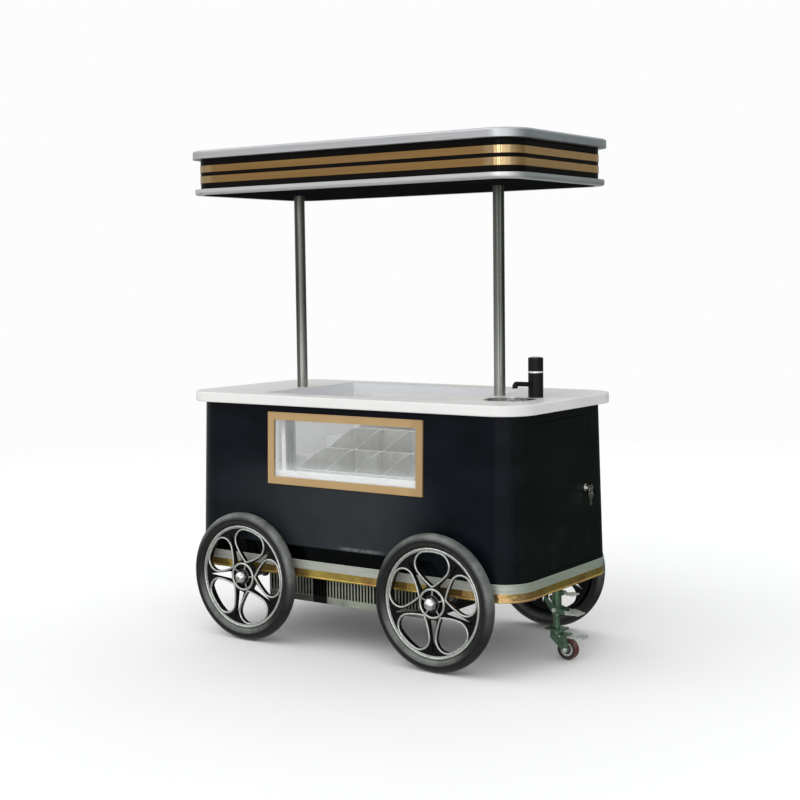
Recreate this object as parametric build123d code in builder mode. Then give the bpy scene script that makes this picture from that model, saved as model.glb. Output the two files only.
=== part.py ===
from build123d import *
import os
from math import atan2, cos, degrees, radians, sin

# Snack cart, in millimetres. The origin is on the ground under the middle of the counter.
# X runs along the cart towards the end with the door and the caster, the window faces -Y, Z is up.

# Counter
counter_length = 1600
counter_width = 800
counter_corner = 135
counter_top_z = 990
counter_thickness = 40
counter_sheet = 12
pocket_width = 600
counter_edge_round = 5
counter_bottom_z = counter_top_z - counter_thickness

# Display well in the counter and the stepped liner under it
well_length = 880
well_front_y = -306
well_back_y = 294
well_corner = 10
liner_sheet = 3
liner_floor_z = 650
liner_kerb_z = 688

# Clear bins, in three rows that climb towards the back
row_first_y = -304
row_pitch = 199
row_rise = 63
row_depth = 197
bins_per_row = 4
bin_pitch = 140
bin_wall = 3
bin_front_height = 40
bin_slope_run = 120
bin_slope_rise = 50
bin_crest_rise = 15
upright_y = -147
upright_width = 54
upright_depth = 9

# Body walls, leaning in from the foot to the counter, with corners that share one centre line
body_foot_inset = 20.5
body_head_inset = 38.5
body_wall = 18
body_bottom_z = 343
plan_round = 144

# Bands round the base of the body
band_inset = 18
band_depth = 9
gold_bottom_z = 276
gold_top_z = 309

# Front window
window_x = 6
window_z = 778
window_length = 684
window_height = 226
window_border = 30
window_frame_depth = 7
window_sleeve = 3
glass_thickness = 6

# Canopy
roof_rim_inset = 10
roof_rim_corner = 124
roof_rim_z = 1933
roof_top_z = 1966
roof_sheet = 4
roof_edge_round = 9
fascia_inset = 41
fascia_sheet = 3
stripe_heights = ((1836, 1864), (1879, 1906))
stripe_thickness = 2
lower_rim_inset = 17
lower_rim_width = 36
lower_rim_z = 1789
lower_rim_height = 22
soffit_thickness = 12

# Posts
post_x = 486
post_radius = 22
post_wall = 2
post_flange_radius = 55
post_flange_thickness = 5
socket_wall = 5
socket_height = 60

# Chassis of folded steel channel
rail_width = 40
channel_wall = 4
cross_member_x = 472
cross_member_width = 80
bracket_y = 301
bracket_thickness = 10
bracket_width = 42
floor_sheet = 3
floor_opening = (760, 600)
floor_gap = 1

# Big wheels
wheel_x = 457
wheel_mid_y = 425
wheel_radius = 258
tyre_width = 46
tyre_depth = 52
tyre_shoulder = 20
tyre_heel = 11
rim_width = 11
disc_back = -6
disc_front = 8
polished_front = 11
hub_front = 14
hub_back = -21
hub_radius = 30
hub_ring_radius = 56
hub_ring_width = 7
hub_rib_width = 5
petal_count = 5
petal_tip = 64
petal_reach = 189
petal_spread = 31
petal_belly = 9
petal_round = 44
petal_lip = 6
spoke_slot_start = 63
spoke_slot_end = 192
spoke_slot_width = 34
spoke_slot_base_round = 3
spoke_slot_tip_round = 1.5
cap_radius = 25
cap_height = 32
cap_wall = 2.5
axle_radius = 12.5
axle_collar_radius = 16
axle_collar_length = 12
axle_end_gap = 4
running_gap = 0.05
side_gap = 0.3

# Vent housing between the axles
vent_length = 780
vent_width = 700
vent_bottom_z = 173
vent_sheet = 2
slot_pitch = 15
slot_width = 9
slot_bottom_z = 200
slot_height = 70

# Cooling unit in the vent housing
compressor_xy = (-180, 40)
compressor_foot = (190, 130)
compressor_foot_corner = 20
compressor_foot_height = 12
compressor_shell = (78, 60)
compressor_height = 140
compressor_crown_round = 32
compressor_sheet = 4
condenser_xy = (110, -290)
condenser_size = (380, 40, 130)
fin_pitch = 19
fin_gap = 12
fin_depth = 25

# Wash point
sink_x = 620
sink_y = -152
sink_radius = 90
sink_rim = 8
sink_depth = 92
sink_sheet = 1.5
sink_wall_height = 30
sink_floor_radius = 65
sink_floor_rise = 6
drain_radius = 20
drain_length = 22
pump_x = 652
pump_y = -12
pump_radius = 28.5
pump_seat = 2
pump_height = 150
pump_ring_z = 93
pump_ring_height = 6
pump_ring_depth = 2.5
pump_ring_proud = 0.4
pump_edge_round = 2
pump_stub_radius = 15
pump_stub_length = 50
spout_z = 49
spout_rise = 7
spout_reach = 112
spout_width = 18
spout_bend = 11
spout_drop = 5
button_radius = 20
button_gap = 0.4
button_depth = 8
button_proud = 2.5
button_edge_round = 1.2
bottle_xy = (612, 150)
bottle_radius = 100
bottle_height = 380
bottle_shoulder = 280
bottle_round = 14
bottle_sheet = 2
neck_radius = 24
neck_length = 40
tank_xy = (612, -150)
tank_size = (200, 190, 300)
tank_corner = 25
tank_edge_round = 10
tank_neck_radius = 28
tank_neck_length = 20
tank_sheet = 3
pipe_radius = 6
pipe_wall = 2
pipe_bend = 45
pipe_drop = 90
pipe_lead = 70
pipe_dip = 60
drain_pipe_wall = 3

# Door in the right end, with its lock
door_half_width = 198
door_bottom_z = 357
door_top_z = 912
door_gap = 2
door_thickness = 16
door_pin_radius = 3.5
door_pin_length = 10
door_pin_inset = 6
door_hinge_round = 5
lock_y = 157
lock_radius = 9
lock_collar = 5
lock_proud = 4
lock_edge_round = 1.5
cam_depth = 28
cam_thickness = 3
cam_reach = 52
cam_width = 16
key_thickness = 2
key_blade_width = 9
key_blade_depth = 18
key_bow_radius = 11
key_bow_gap = 8
key_root = 2
key_hole_radius = 3
key_ring_radius = 11
key_ring_wire = 0.9
key_ring_slack = 1
spare_bow_drop = 4
spare_blade = (8, 30)

# Drop-down caster under the right end
caster_x = 733
sleeve_radius = 18
sleeve_bottom_z = 165
leg_radius = 13
leg_gap = 0.08
leg_wall = 2.5
leg_top_z = 232
leg_travel = 35
sleeve_plate = (60, 96)
sleeve_plate_corner = 8
sleeve_plate_thickness = 6
gusset_half_width = 42
gusset_drop = 44
gusset_thickness = 6
base_plate_size = (75, 65)
base_plate_corner = 8
base_plate_z = 110
base_plate_thickness = 5
bolt_head_radius = 9
bolt_head_height = 6
pedal_bolt_z = 187
pedal_bolt_radius = 5
bolt_side_play = 0.4
bolt_end_play = 1
pedal_cheek = 3
pedal_cheek_gap = 0.6
pedal_boss_radius = 14
crank_offset = (-36, 38)
crank_radius = 8
tread_start = 58
tread_length = 46
tread_drop = 9
tread_thickness = 4
tread_half_width = 30
release_pin_x = 762
release_pin_z = 252
release_pin_radius = 3
lug_gap = 16
lug_radius = 8
lug_thickness = 3
release_boss_radius = 6.5
release_arm = (70, 6)
release_arm_half_width = 6
release_nose_gap = 1.5
release_window_height = 20
release_tread = (36, 52)
release_tread_corner = 6
release_tread_offset = 66
release_tread_thickness = 4
caster_trail = 48
caster_wheel_radius = 40
caster_wheel_width = 34
caster_tread_inner = 28
caster_web_recess = 5
caster_edge = (4, 5)
bearing_radius = 11
bearing_proud = 1.5
caster_axle_radius = 5
fork_sheet = 3
fork_gap = 40
fork_eye_radius = 12
fork_top = (70, 16)
fork_top_shift = 18
crown_radius = 26
crown_height = 13
crown_round = 4
swivel_gap = 0.5
kingpin_radius = 6
kingpin_head_radius = 9.5
kingpin_head_height = 4
brake_pin_x = 757
brake_pin_z = 90
brake_pin_radius = 3
brake_side_gap = 0.5
brake_tread_half_width = 27

os.makedirs("parts", exist_ok=True)


def keep(piece, name):
    """Label a finished piece and write it under its own name."""
    piece.part.label = name
    export_step(piece.part, f"parts/{name}.step")


def plan(inset):
    """Length and width of the cart's plan, drawn in from the counter's edge."""
    return counter_length - 2 * inset, counter_width - 2 * inset


def plan_band(inset, depth, corner, bottom, top):
    """A closed upright band that follows the cart's rounded plan."""
    with BuildPart() as band:
        with BuildSketch(Plane.XY.offset(bottom)):
            RectangleRounded(*plan(inset), corner)
            RectangleRounded(*plan(inset + depth), corner - depth, mode=Mode.SUBTRACT)
        extrude(amount=top - bottom)
    return band


wall_height = counter_bottom_z - body_bottom_z
body_lean = body_head_inset - body_foot_inset
lean = atan2(body_lean, wall_height)
inner_half_length = counter_length / 2 - body_head_inset - body_wall
inner_half_width = counter_width / 2 - body_head_inset - body_wall
flat_half_length = counter_length / 2 - plan_round
post_places = [(-post_x, 0), (post_x, 0)]


def inset_at(z):
    """How far the leaning wall's outer face is drawn in from the counter's edge at a height."""
    return body_foot_inset + body_lean * (z - body_bottom_z) / wall_height


front_y = inset_at(window_z) - counter_width / 2
front_face = Plane((window_x, front_y, window_z), x_dir=(1, 0, 0), z_dir=(0, -cos(lean), sin(lean)))

# Canopy lid: a slab with a deep rim, hollow underneath
lid_hollow_inset = fascia_inset + fascia_sheet
lid_hollow_corner = roof_rim_corner - (lid_hollow_inset - roof_rim_inset)
with BuildPart() as roof_top:
    with BuildSketch(Plane.XY.offset(roof_rim_z)):
        RectangleRounded(*plan(roof_rim_inset), roof_rim_corner)
    extrude(amount=roof_top_z - roof_rim_z)
    fillet(roof_top.faces().sort_by(Axis.Z)[-1].edges(), roof_edge_round)
    with BuildSketch(Plane.XY.offset(roof_rim_z)):
        RectangleRounded(*plan(lid_hollow_inset), lid_hollow_corner)
    extrude(amount=roof_top_z - roof_rim_z - roof_sheet, mode=Mode.SUBTRACT)
keep(roof_top, "roof_top")

fascia_corner = roof_rim_corner - (fascia_inset - roof_rim_inset)
lower_rim_top_z = lower_rim_z + lower_rim_height
keep(plan_band(fascia_inset, fascia_sheet, fascia_corner, lower_rim_top_z, roof_rim_z), "roof_fascia")

# Two gold trim loops on the fascia
stripe_inset = fascia_inset - stripe_thickness
with BuildPart() as gold_stripes:
    for stripe_bottom, stripe_top in stripe_heights:
        with BuildSketch(Plane.XY.offset(stripe_bottom)):
            RectangleRounded(*plan(stripe_inset), fascia_corner + stripe_thickness)
            RectangleRounded(*plan(fascia_inset), fascia_corner, mode=Mode.SUBTRACT)
        extrude(amount=stripe_top - stripe_bottom)
keep(gold_stripes, "gold_stripes")

# Lower rim of the canopy and the black board inside it
lower_rim_corner = roof_rim_corner - (lower_rim_inset - roof_rim_inset)
soffit_inset = lower_rim_inset + lower_rim_width
soffit_corner = lower_rim_corner - lower_rim_width
with BuildPart() as roof_lower_rim:
    with BuildSketch(Plane.XY.offset(lower_rim_z)):
        RectangleRounded(*plan(lower_rim_inset), lower_rim_corner)
    extrude(amount=lower_rim_height)
    fillet(roof_lower_rim.faces().sort_by(Axis.Z)[0].edges(), roof_edge_round)
    with BuildSketch(Plane.XY.offset(lower_rim_z)):
        RectangleRounded(*plan(soffit_inset), soffit_corner)
    extrude(amount=lower_rim_height, mode=Mode.SUBTRACT)
keep(roof_lower_rim, "roof_lower_rim")

with BuildPart() as roof_soffit:
    with BuildSketch(Plane.XY.offset(lower_rim_z)):
        RectangleRounded(*plan(soffit_inset), soffit_corner)
        with Locations(*post_places):
            Circle(post_radius, mode=Mode.SUBTRACT)
    extrude(amount=soffit_thickness)
keep(roof_soffit, "roof_soffit")

# Posts stand in sockets on the chassis and carry the canopy on a flange
post_top_z = roof_top_z - roof_sheet
for side, name in ((-1, "left_post"), (1, "right_post")):
    foot = Plane((side * post_x, 0, body_bottom_z))
    with BuildPart() as post:
        with BuildSketch(foot):
            Circle(post_radius)
        extrude(amount=post_top_z - body_bottom_z)
        with BuildSketch(Plane((side * post_x, 0, post_top_z - post_flange_thickness))):
            Circle(post_flange_radius)
        extrude(amount=post_flange_thickness)
        with BuildSketch(foot):
            Circle(post_radius - post_wall)
        extrude(amount=post_top_z - body_bottom_z, mode=Mode.SUBTRACT)
    keep(post, name)

# Counter: a sheet with a deep edge, cut for the well, the sink, the pump and the posts
well_width = well_back_y - well_front_y
well_mid_y = (well_back_y + well_front_y) / 2
pocket_inner_x = post_x + post_radius + socket_wall
pocket_length = inner_half_length - pocket_inner_x
with BuildPart() as counter_top:
    with BuildSketch(Plane.XY.offset(counter_bottom_z)):
        RectangleRounded(counter_length, counter_width, counter_corner)
    extrude(amount=counter_thickness)
    fillet(counter_top.faces().filter_by(Axis.Z).edges(), counter_edge_round)
    with BuildSketch(Plane.XY.offset(counter_bottom_z)):
        with Locations((0, well_mid_y)):
            RectangleRounded(well_length, well_width, well_corner)
        with Locations((sink_x, sink_y)):
            Circle(sink_radius)
        with Locations((pump_x, pump_y)):
            Circle(pump_stub_radius)
        with Locations(*post_places):
            Circle(post_radius)
    extrude(amount=counter_thickness, mode=Mode.SUBTRACT)
    with BuildSketch(Plane.XY.offset(counter_bottom_z)):
        for side in (-1, 1):
            with Locations((side * (pocket_inner_x + pocket_length / 2), 0)):
                RectangleRounded(pocket_length, pocket_width, well_corner)
    extrude(amount=counter_thickness - counter_sheet, mode=Mode.SUBTRACT)
    with BuildSketch(Plane((sink_x, sink_y, counter_top_z))):
        Circle(sink_radius + sink_rim)
    extrude(amount=-sink_sheet, mode=Mode.SUBTRACT)
    with BuildSketch(Plane((pump_x, pump_y, counter_top_z))):
        Circle(pump_radius)
    extrude(amount=-pump_seat, mode=Mode.SUBTRACT)
keep(counter_top, "counter_top")

# Liner: one stepped tub with a collar through the wall to the pane and a kerb under the window
liner_front_y = -inner_half_width + liner_sheet
step_ys = [row_first_y + row_pitch * step - 1 for step in (1, 2)]


def liner_side(top_z):
    """Side view of the room inside the liner, up to the given height."""
    second, third = step_ys
    floor = liner_floor_z
    return [
        (liner_front_y, floor),
        (second, floor),
        (second, floor + row_rise),
        (third, floor + row_rise),
        (third, floor + 2 * row_rise),
        (well_back_y, floor + 2 * row_rise),
        (well_back_y, top_z),
        (liner_front_y, top_z),
    ]


window_top_z = window_z + window_height / 2
collar_length = window_length + 2 * window_sleeve
collar_height = window_height + 2 * window_sleeve
pane_back = front_face.offset(-glass_thickness)
collar_depth = -front_y - inner_half_width
with BuildPart() as display_liner:
    with BuildSketch(Plane.YZ):
        with BuildLine():
            Polyline(*liner_side(counter_bottom_z - liner_sheet), close=True)
        make_face()
        offset(amount=liner_sheet, kind=Kind.INTERSECTION)
    extrude(amount=well_length / 2 + liner_sheet, both=True)
    with BuildSketch(pane_back):
        Rectangle(collar_length, collar_height)
    extrude(amount=-collar_depth)
    with BuildSketch(Plane.YZ):
        with BuildLine():
            Polyline(*liner_side(counter_bottom_z + liner_sheet), close=True)
        make_face()
    extrude(amount=well_length / 2, both=True, mode=Mode.SUBTRACT)
    with BuildSketch(pane_back):
        Rectangle(window_length, window_height)
    extrude(amount=-collar_depth + 2 * liner_sheet, mode=Mode.SUBTRACT)
    with BuildSketch(Plane.XZ.offset(-liner_front_y)):
        with Locations((window_x, (liner_kerb_z + window_top_z) / 2)):
            Rectangle(window_length, window_top_z - liner_kerb_z)
    extrude(amount=collar_depth / 2, mode=Mode.SUBTRACT)
keep(display_liner, "display_liner")

# Upright channels on the liner's side walls
with BuildPart() as bin_uprights:
    with BuildSketch(Plane.XY.offset(liner_floor_z)):
        for side in (-1, 1):
            with Locations((side * (well_length / 2 - upright_depth / 2), upright_y)):
                Rectangle(upright_depth, upright_width)
            with Locations((side * (well_length / 2 - upright_depth), upright_y)):
                Rectangle(upright_depth, upright_width / 3, mode=Mode.SUBTRACT)
    extrude(amount=counter_bottom_z - liner_floor_z)
keep(bin_uprights, "bin_uprights")


def bin_row(step):
    """One row of open bins. The dividers rise from the low front and round off into the high back."""
    row_y = row_first_y + row_pitch * step
    base_z = liner_floor_z + row_rise * step
    pocket_depth = row_depth - 2 * bin_wall
    with BuildPart() as row:
        with BuildSketch(Plane.YZ.offset(window_x)):
            with BuildLine():
                knee = (row_y + bin_slope_run, base_z + bin_front_height + bin_slope_rise)
                slope = Line((row_y, base_z + bin_front_height), knee)
                crest = TangentArc(
                    slope @ 1,
                    (row_y + row_depth, knee[1] + bin_crest_rise),
                    tangent=slope % 1,
                )
                back = Line(crest @ 1, (row_y + row_depth, base_z))
                base = Line(back @ 1, (row_y, base_z))
                Line(base @ 1, slope @ 0)
            make_face()
        extrude(amount=(bins_per_row * bin_pitch + bin_wall) / 2, both=True)
        with BuildSketch(Plane.XY.offset(base_z + bin_wall)):
            with Locations((window_x, row_y + row_depth / 2)):
                with GridLocations(bin_pitch, 1, bins_per_row, 1):
                    Rectangle(bin_pitch - bin_wall, pocket_depth)
        extrude(amount=3 * row_rise, mode=Mode.SUBTRACT)
    return row


for step, name in enumerate(("front_bin_row", "middle_bin_row", "rear_bin_row")):
    keep(bin_row(step), name)

# Body walls: one leaning shell, parted into flat front and rear panels and two rounded ends
with BuildPart() as body_shell:
    for drawn_in, mode in ((0, Mode.ADD), (body_wall, Mode.SUBTRACT)):
        foot_inset = body_foot_inset + drawn_in
        with BuildSketch(Plane.XY.offset(body_bottom_z)):
            RectangleRounded(*plan(foot_inset), plan_round - foot_inset)
        extrude(amount=wall_height, taper=degrees(lean), mode=mode)

with BuildPart() as middle_walls:
    add(body_shell.part)
    split(bisect_by=Plane.YZ.offset(flat_half_length), keep=Keep.BOTTOM)
    split(bisect_by=Plane.YZ.offset(-flat_half_length), keep=Keep.TOP)

with BuildPart() as front_panel:
    add(middle_walls.part)
    split(bisect_by=Plane.XZ, keep=Keep.TOP)
    with BuildSketch(front_face):
        Rectangle(collar_length, collar_height)
    extrude(amount=-2 * body_wall, mode=Mode.SUBTRACT)
keep(front_panel, "front_panel")

with BuildPart() as rear_panel:
    add(middle_walls.part)
    split(bisect_by=Plane.XZ, keep=Keep.BOTTOM)
keep(rear_panel, "rear_panel")

with BuildPart() as left_end_panel:
    add(body_shell.part)
    split(bisect_by=Plane.YZ.offset(-flat_half_length), keep=Keep.BOTTOM)
keep(left_end_panel, "left_end_panel")

# The door lies in the leaning end wall. Its hinge line runs up the slope, near the front edge
door_mid_z = (door_top_z + door_bottom_z) / 2
door_height = (door_top_z - door_bottom_z) / cos(lean)
end_x = counter_length / 2 - inset_at(door_mid_z)
end_face = Plane((end_x, 0, door_mid_z), x_dir=(0, 1, 0), z_dir=(cos(lean), 0, sin(lean)))
door_foot = Plane(
    end_face.from_local_coords((0, -door_height / 2, 0)),
    x_dir=end_face.x_dir,
    z_dir=end_face.y_dir,
)
door_pin_place = (-door_half_width + door_pin_inset, door_pin_inset)
with BuildPart() as right_end_panel:
    add(body_shell.part)
    split(bisect_by=Plane.YZ.offset(flat_half_length), keep=Keep.TOP)
    with BuildSketch(end_face):
        Rectangle(2 * (door_half_width + door_gap), door_height + 2 * door_gap)
    extrude(amount=-2 * body_wall, mode=Mode.SUBTRACT)
    with BuildSketch(door_foot.offset(-door_pin_length)):
        with Locations(door_pin_place):
            Circle(door_pin_radius + running_gap)
    extrude(amount=door_height + 2 * door_pin_length, mode=Mode.SUBTRACT)
keep(right_end_panel, "right_end_panel")

# Window: a flat gold frame on the wall, and the pane behind it in the wall's opening
with BuildPart() as window_frame:
    with BuildSketch(front_face):
        Rectangle(window_length + 2 * window_border, window_height + 2 * window_border)
        Rectangle(window_length, window_height, mode=Mode.SUBTRACT)
    extrude(amount=window_frame_depth)
    chamfer(window_frame.faces().sort_by(Axis.Y)[0].outer_wire().edges(), 1.5)
keep(window_frame, "window_frame")

with BuildPart() as window_glass:
    with BuildSketch(front_face):
        Rectangle(collar_length, collar_height)
    extrude(amount=-glass_thickness)
keep(window_glass, "window_glass")

# Chassis: channel rails on the body's plan, two cross members, axle brackets and post sockets
axle_places = [(-wheel_x, wheel_radius), (wheel_x, wheel_radius)]
rail_inset = band_inset + band_depth
rail_corner = plan_round - rail_inset
inner_inset = rail_inset + rail_width
member_length = counter_width - rail_inset - inner_inset
with BuildPart() as chassis_frame:
    with BuildSketch(Plane.XY.offset(gold_bottom_z)):
        RectangleRounded(*plan(rail_inset), rail_corner)
        RectangleRounded(*plan(inner_inset), plan_round - inner_inset, mode=Mode.SUBTRACT)
        with Locations((-cross_member_x, 0), (cross_member_x, 0)):
            Rectangle(cross_member_width, member_length)
    extrude(amount=body_bottom_z - gold_bottom_z)
    with BuildSketch(Plane.XY.offset(gold_bottom_z)):
        channel_inset = inner_inset - channel_wall
        RectangleRounded(*plan(rail_inset + channel_wall), rail_corner - channel_wall)
        RectangleRounded(*plan(channel_inset), plan_round - channel_inset, mode=Mode.SUBTRACT)
        with Locations((-cross_member_x, 0), (cross_member_x, 0)):
            Rectangle(cross_member_width - 2 * channel_wall, member_length)
    extrude(amount=body_bottom_z - gold_bottom_z - channel_wall, mode=Mode.SUBTRACT)
    for side in (-1, 1):
        bracket_face = Plane.XZ.offset(-side * bracket_y + bracket_thickness / 2)
        with BuildSketch(bracket_face):
            with Locations(*axle_places):
                Circle(bracket_width / 2)
            for x, z in axle_places:
                with Locations((x, (z + body_bottom_z) / 2)):
                    Rectangle(bracket_width, body_bottom_z - z)
            with Locations(*axle_places):
                Circle(axle_radius, mode=Mode.SUBTRACT)
        extrude(amount=-bracket_thickness)
    with BuildSketch(Plane.XY.offset(body_bottom_z)):
        with Locations(*post_places):
            Circle(post_radius + socket_wall)
            Circle(post_radius, mode=Mode.SUBTRACT)
    extrude(amount=socket_height)
keep(chassis_frame, "chassis_frame")

floor_inset = body_foot_inset + body_wall + floor_gap
with BuildPart() as floor_pan:
    with BuildSketch(Plane.XY.offset(body_bottom_z)):
        RectangleRounded(*plan(floor_inset), plan_round - floor_inset)
        Rectangle(*floor_opening, mode=Mode.SUBTRACT)
        with Locations(*post_places):
            Circle(post_radius + socket_wall, mode=Mode.SUBTRACT)
    extrude(amount=floor_sheet)
keep(floor_pan, "floor_pan")

band_corner = plan_round - band_inset
keep(plan_band(band_inset, band_depth, band_corner, gold_bottom_z, gold_top_z), "gold_band")
keep(plan_band(band_inset, band_depth, band_corner, gold_top_z, body_bottom_z), "silver_band")

# Vent housing under the floor, with slotted plates at the front and the rear
vent_height = gold_bottom_z - vent_bottom_z
with BuildPart() as vent_housing:
    with BuildSketch(Plane.XZ.offset(vent_width / 2 - vent_sheet)):
        with Locations((0, vent_bottom_z)):
            Rectangle(vent_length, vent_height, align=(Align.CENTER, Align.MIN))
        with Locations((0, vent_bottom_z + vent_sheet)):
            Rectangle(vent_length - 2 * vent_sheet, vent_height, align=(Align.CENTER, Align.MIN), mode=Mode.SUBTRACT)
    extrude(amount=-(vent_width - 2 * vent_sheet))
keep(vent_housing, "vent_housing")

slot_count = vent_length // slot_pitch - 1
with BuildPart() as vent_grilles:
    with BuildSketch(Plane.XZ.offset(vent_width / 2 - vent_sheet)):
        with Locations((0, vent_bottom_z)):
            Rectangle(vent_length, vent_height, align=(Align.CENTER, Align.MIN))
        with Locations((0, slot_bottom_z + slot_height / 2)):
            with GridLocations(slot_pitch, 1, slot_count, 1):
                Rectangle(slot_width, slot_height, mode=Mode.SUBTRACT)
    extrude(amount=vent_sheet)
    mirror(about=Plane.XZ)
keep(vent_grilles, "vent_grilles")

# Cooling unit on the vent housing's floor
unit_z = vent_bottom_z + vent_sheet
with BuildPart() as compressor:
    with BuildSketch(Plane((*compressor_xy, unit_z))):
        RectangleRounded(*compressor_foot, compressor_foot_corner)
    extrude(amount=compressor_foot_height)
    with BuildSketch(Plane((*compressor_xy, unit_z + compressor_foot_height))):
        Ellipse(*compressor_shell)
    extrude(amount=compressor_height)
    fillet(compressor.faces().sort_by(Axis.Z)[-1].edges(), compressor_crown_round)
    offset(amount=-compressor_sheet, openings=compressor.faces().sort_by(Axis.Z)[0])
keep(compressor, "compressor")

condenser_length, condenser_depth, condenser_height = condenser_size
with BuildPart() as condenser:
    with BuildSketch(Plane((*condenser_xy, unit_z))):
        Rectangle(condenser_length, condenser_depth)
        with Locations((0, -condenser_depth / 2)):
            with GridLocations(fin_pitch, 1, condenser_length // fin_pitch - 1, 1):
                Rectangle(fin_gap, fin_depth, align=(Align.CENTER, Align.MIN), mode=Mode.SUBTRACT)
    extrude(amount=condenser_height)
keep(condenser, "condenser")

# Axles run right across and are shouldered inside each hub
hub_inner_y = wheel_mid_y + hub_back
axle_end_y = wheel_mid_y + hub_front - axle_end_gap
with BuildPart() as axles:
    with BuildSketch(Plane.XZ):
        with Locations(*axle_places):
            Circle(axle_radius)
    extrude(amount=axle_end_y, both=True)
    for side in (-1, 1):
        with BuildSketch(Plane.XZ.offset(side * (hub_inner_y - side_gap))):
            with Locations(*axle_places):
                Circle(axle_collar_radius)
        extrude(amount=-side * axle_collar_length)
keep(axles, "axles")

# Petal opening of a cast wheel, lying along local X with its point at the hub
rim_radius = wheel_radius - tyre_depth
corner_x = petal_reach * cos(radians(petal_spread))
corner_y = petal_reach * sin(radians(petal_spread))
belly_x = (petal_tip + corner_x) / 2 - petal_belly * sin(radians(petal_spread))
belly_y = corner_y / 2 + petal_belly * cos(radians(petal_spread))
with BuildSketch() as petal:
    with BuildLine():
        ThreePointArc((petal_tip, 0), (belly_x, belly_y), (corner_x, corner_y))
        ThreePointArc((corner_x, corner_y), (petal_reach, 0), (corner_x, -corner_y))
        ThreePointArc((corner_x, -corner_y), (belly_x, -belly_y), (petal_tip, 0))
    make_face()
    fillet(petal.vertices().group_by(Axis.X)[-1], petal_round)

with BuildSketch() as petal_edge:
    add(petal.sketch)
    offset(amount=petal_lip)

with BuildSketch() as spoke_slot:
    with BuildLine():
        slot_base = Line((spoke_slot_start, -spoke_slot_width / 2), (spoke_slot_start, spoke_slot_width / 2))
        Line(slot_base @ 1, (spoke_slot_end, 0))
        Line((spoke_slot_end, 0), slot_base @ 0)
    make_face()
    fillet(spoke_slot.vertices().group_by(Axis.X)[0], spoke_slot_base_round)
    fillet(spoke_slot.vertices().group_by(Axis.X)[-1], spoke_slot_tip_round)


def wheel_section(hub):
    """Half-section plane of a wheel: local X is the radius and local Y points outwards along the axle."""
    return Plane(hub.origin, x_dir=hub.x_dir, z_dir=-hub.y_dir)


def cast_wheel(hub, first_petal):
    """Rim, disc and hub turned in one piece, with raised edges to polish round the rim, petals and hub."""
    spin = Axis(hub.origin, hub.z_dir)
    rim_inner = rim_radius - rim_width
    ring_inner = hub_ring_radius - hub_ring_width
    bore = axle_radius + running_gap
    with BuildPart() as wheel:
        with BuildSketch(wheel_section(hub)):
            with BuildLine():
                Polyline(
                    (bore, hub_back),
                    (hub_radius, hub_back),
                    (hub_radius, disc_back),
                    (rim_inner, disc_back),
                    (rim_inner, hub_back),
                    (rim_radius, hub_back),
                    (rim_radius, hub_front),
                    (rim_inner, polished_front),
                    (rim_inner, disc_front),
                    (hub_ring_radius, disc_front),
                    (hub_ring_radius, hub_front),
                    (ring_inner, hub_front),
                    (ring_inner, 0),
                    (hub_radius, 0),
                    (hub_radius, hub_front),
                    (bore, hub_front),
                    close=True,
                )
            make_face()
        revolve(axis=spin)
        with BuildSketch(hub.offset(disc_front)):
            with PolarLocations(0, petal_count, start_angle=first_petal):
                add(petal_edge.sketch)
        extrude(amount=polished_front - disc_front)
        with BuildSketch(hub):
            with PolarLocations(0, petal_count, start_angle=first_petal):
                with Locations(((hub_radius + ring_inner) / 2, 0)):
                    Rectangle(ring_inner - hub_radius + 2, hub_rib_width)
        extrude(amount=polished_front)
        with BuildSketch(hub.offset(disc_back)):
            with PolarLocations(0, petal_count, start_angle=first_petal):
                add(petal.sketch)
            with PolarLocations(0, petal_count, start_angle=first_petal + 180 / petal_count):
                add(spoke_slot.sketch)
        extrude(amount=polished_front - disc_back, mode=Mode.SUBTRACT)
    return wheel


def wheel_tyre(hub):
    """Solid rubber tyre with round shoulders."""
    with BuildPart() as tyre:
        with BuildSketch(wheel_section(hub)) as tread:
            with Locations((rim_radius + tyre_depth / 2, 0)):
                Rectangle(tyre_depth, tyre_width)
            fillet(tread.vertices().group_by(Axis.X)[-1], tyre_shoulder)
            fillet(tread.vertices().group_by(Axis.X)[0], tyre_heel)
        revolve(axis=Axis(hub.origin, hub.z_dir))
    return tyre


def hub_cap(hub):
    """Hollow dome over the end of the axle: a short skirt under a part of a sphere."""
    shoulder = hub_front + cap_height / 4
    with BuildPart() as cap:
        with BuildSketch(wheel_section(hub)):
            for radius, crown, mode in (
                (cap_radius, hub_front + cap_height, Mode.ADD),
                (cap_radius - cap_wall, hub_front + cap_height - cap_wall, Mode.SUBTRACT),
            ):
                rise = crown - shoulder
                with BuildLine():
                    Polyline((0, crown), (0, hub_front), (radius, hub_front), (radius, shoulder))
                    RadiusArc((radius, shoulder), (0, crown), -(radius**2 + rise**2) / (2 * rise))
                make_face(mode=mode)
        revolve(axis=Axis(hub.origin, hub.z_dir))
    return cap


wheel_corners = {
    "front_left": (-1, -1, 75),
    "front_right": (1, -1, 90),
    "rear_left": (-1, 1, 60),
    "rear_right": (1, 1, 100),
}
for corner, (along, across, first_petal) in wheel_corners.items():
    hub_centre = (along * wheel_x, across * wheel_mid_y, wheel_radius)
    hub = Plane(hub_centre, x_dir=(-across, 0, 0), z_dir=(0, across, 0))
    keep(cast_wheel(hub, first_petal), f"{corner}_wheel")
    keep(wheel_tyre(hub), f"{corner}_tyre")
    keep(hub_cap(hub), f"{corner}_hub_cap")

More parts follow.
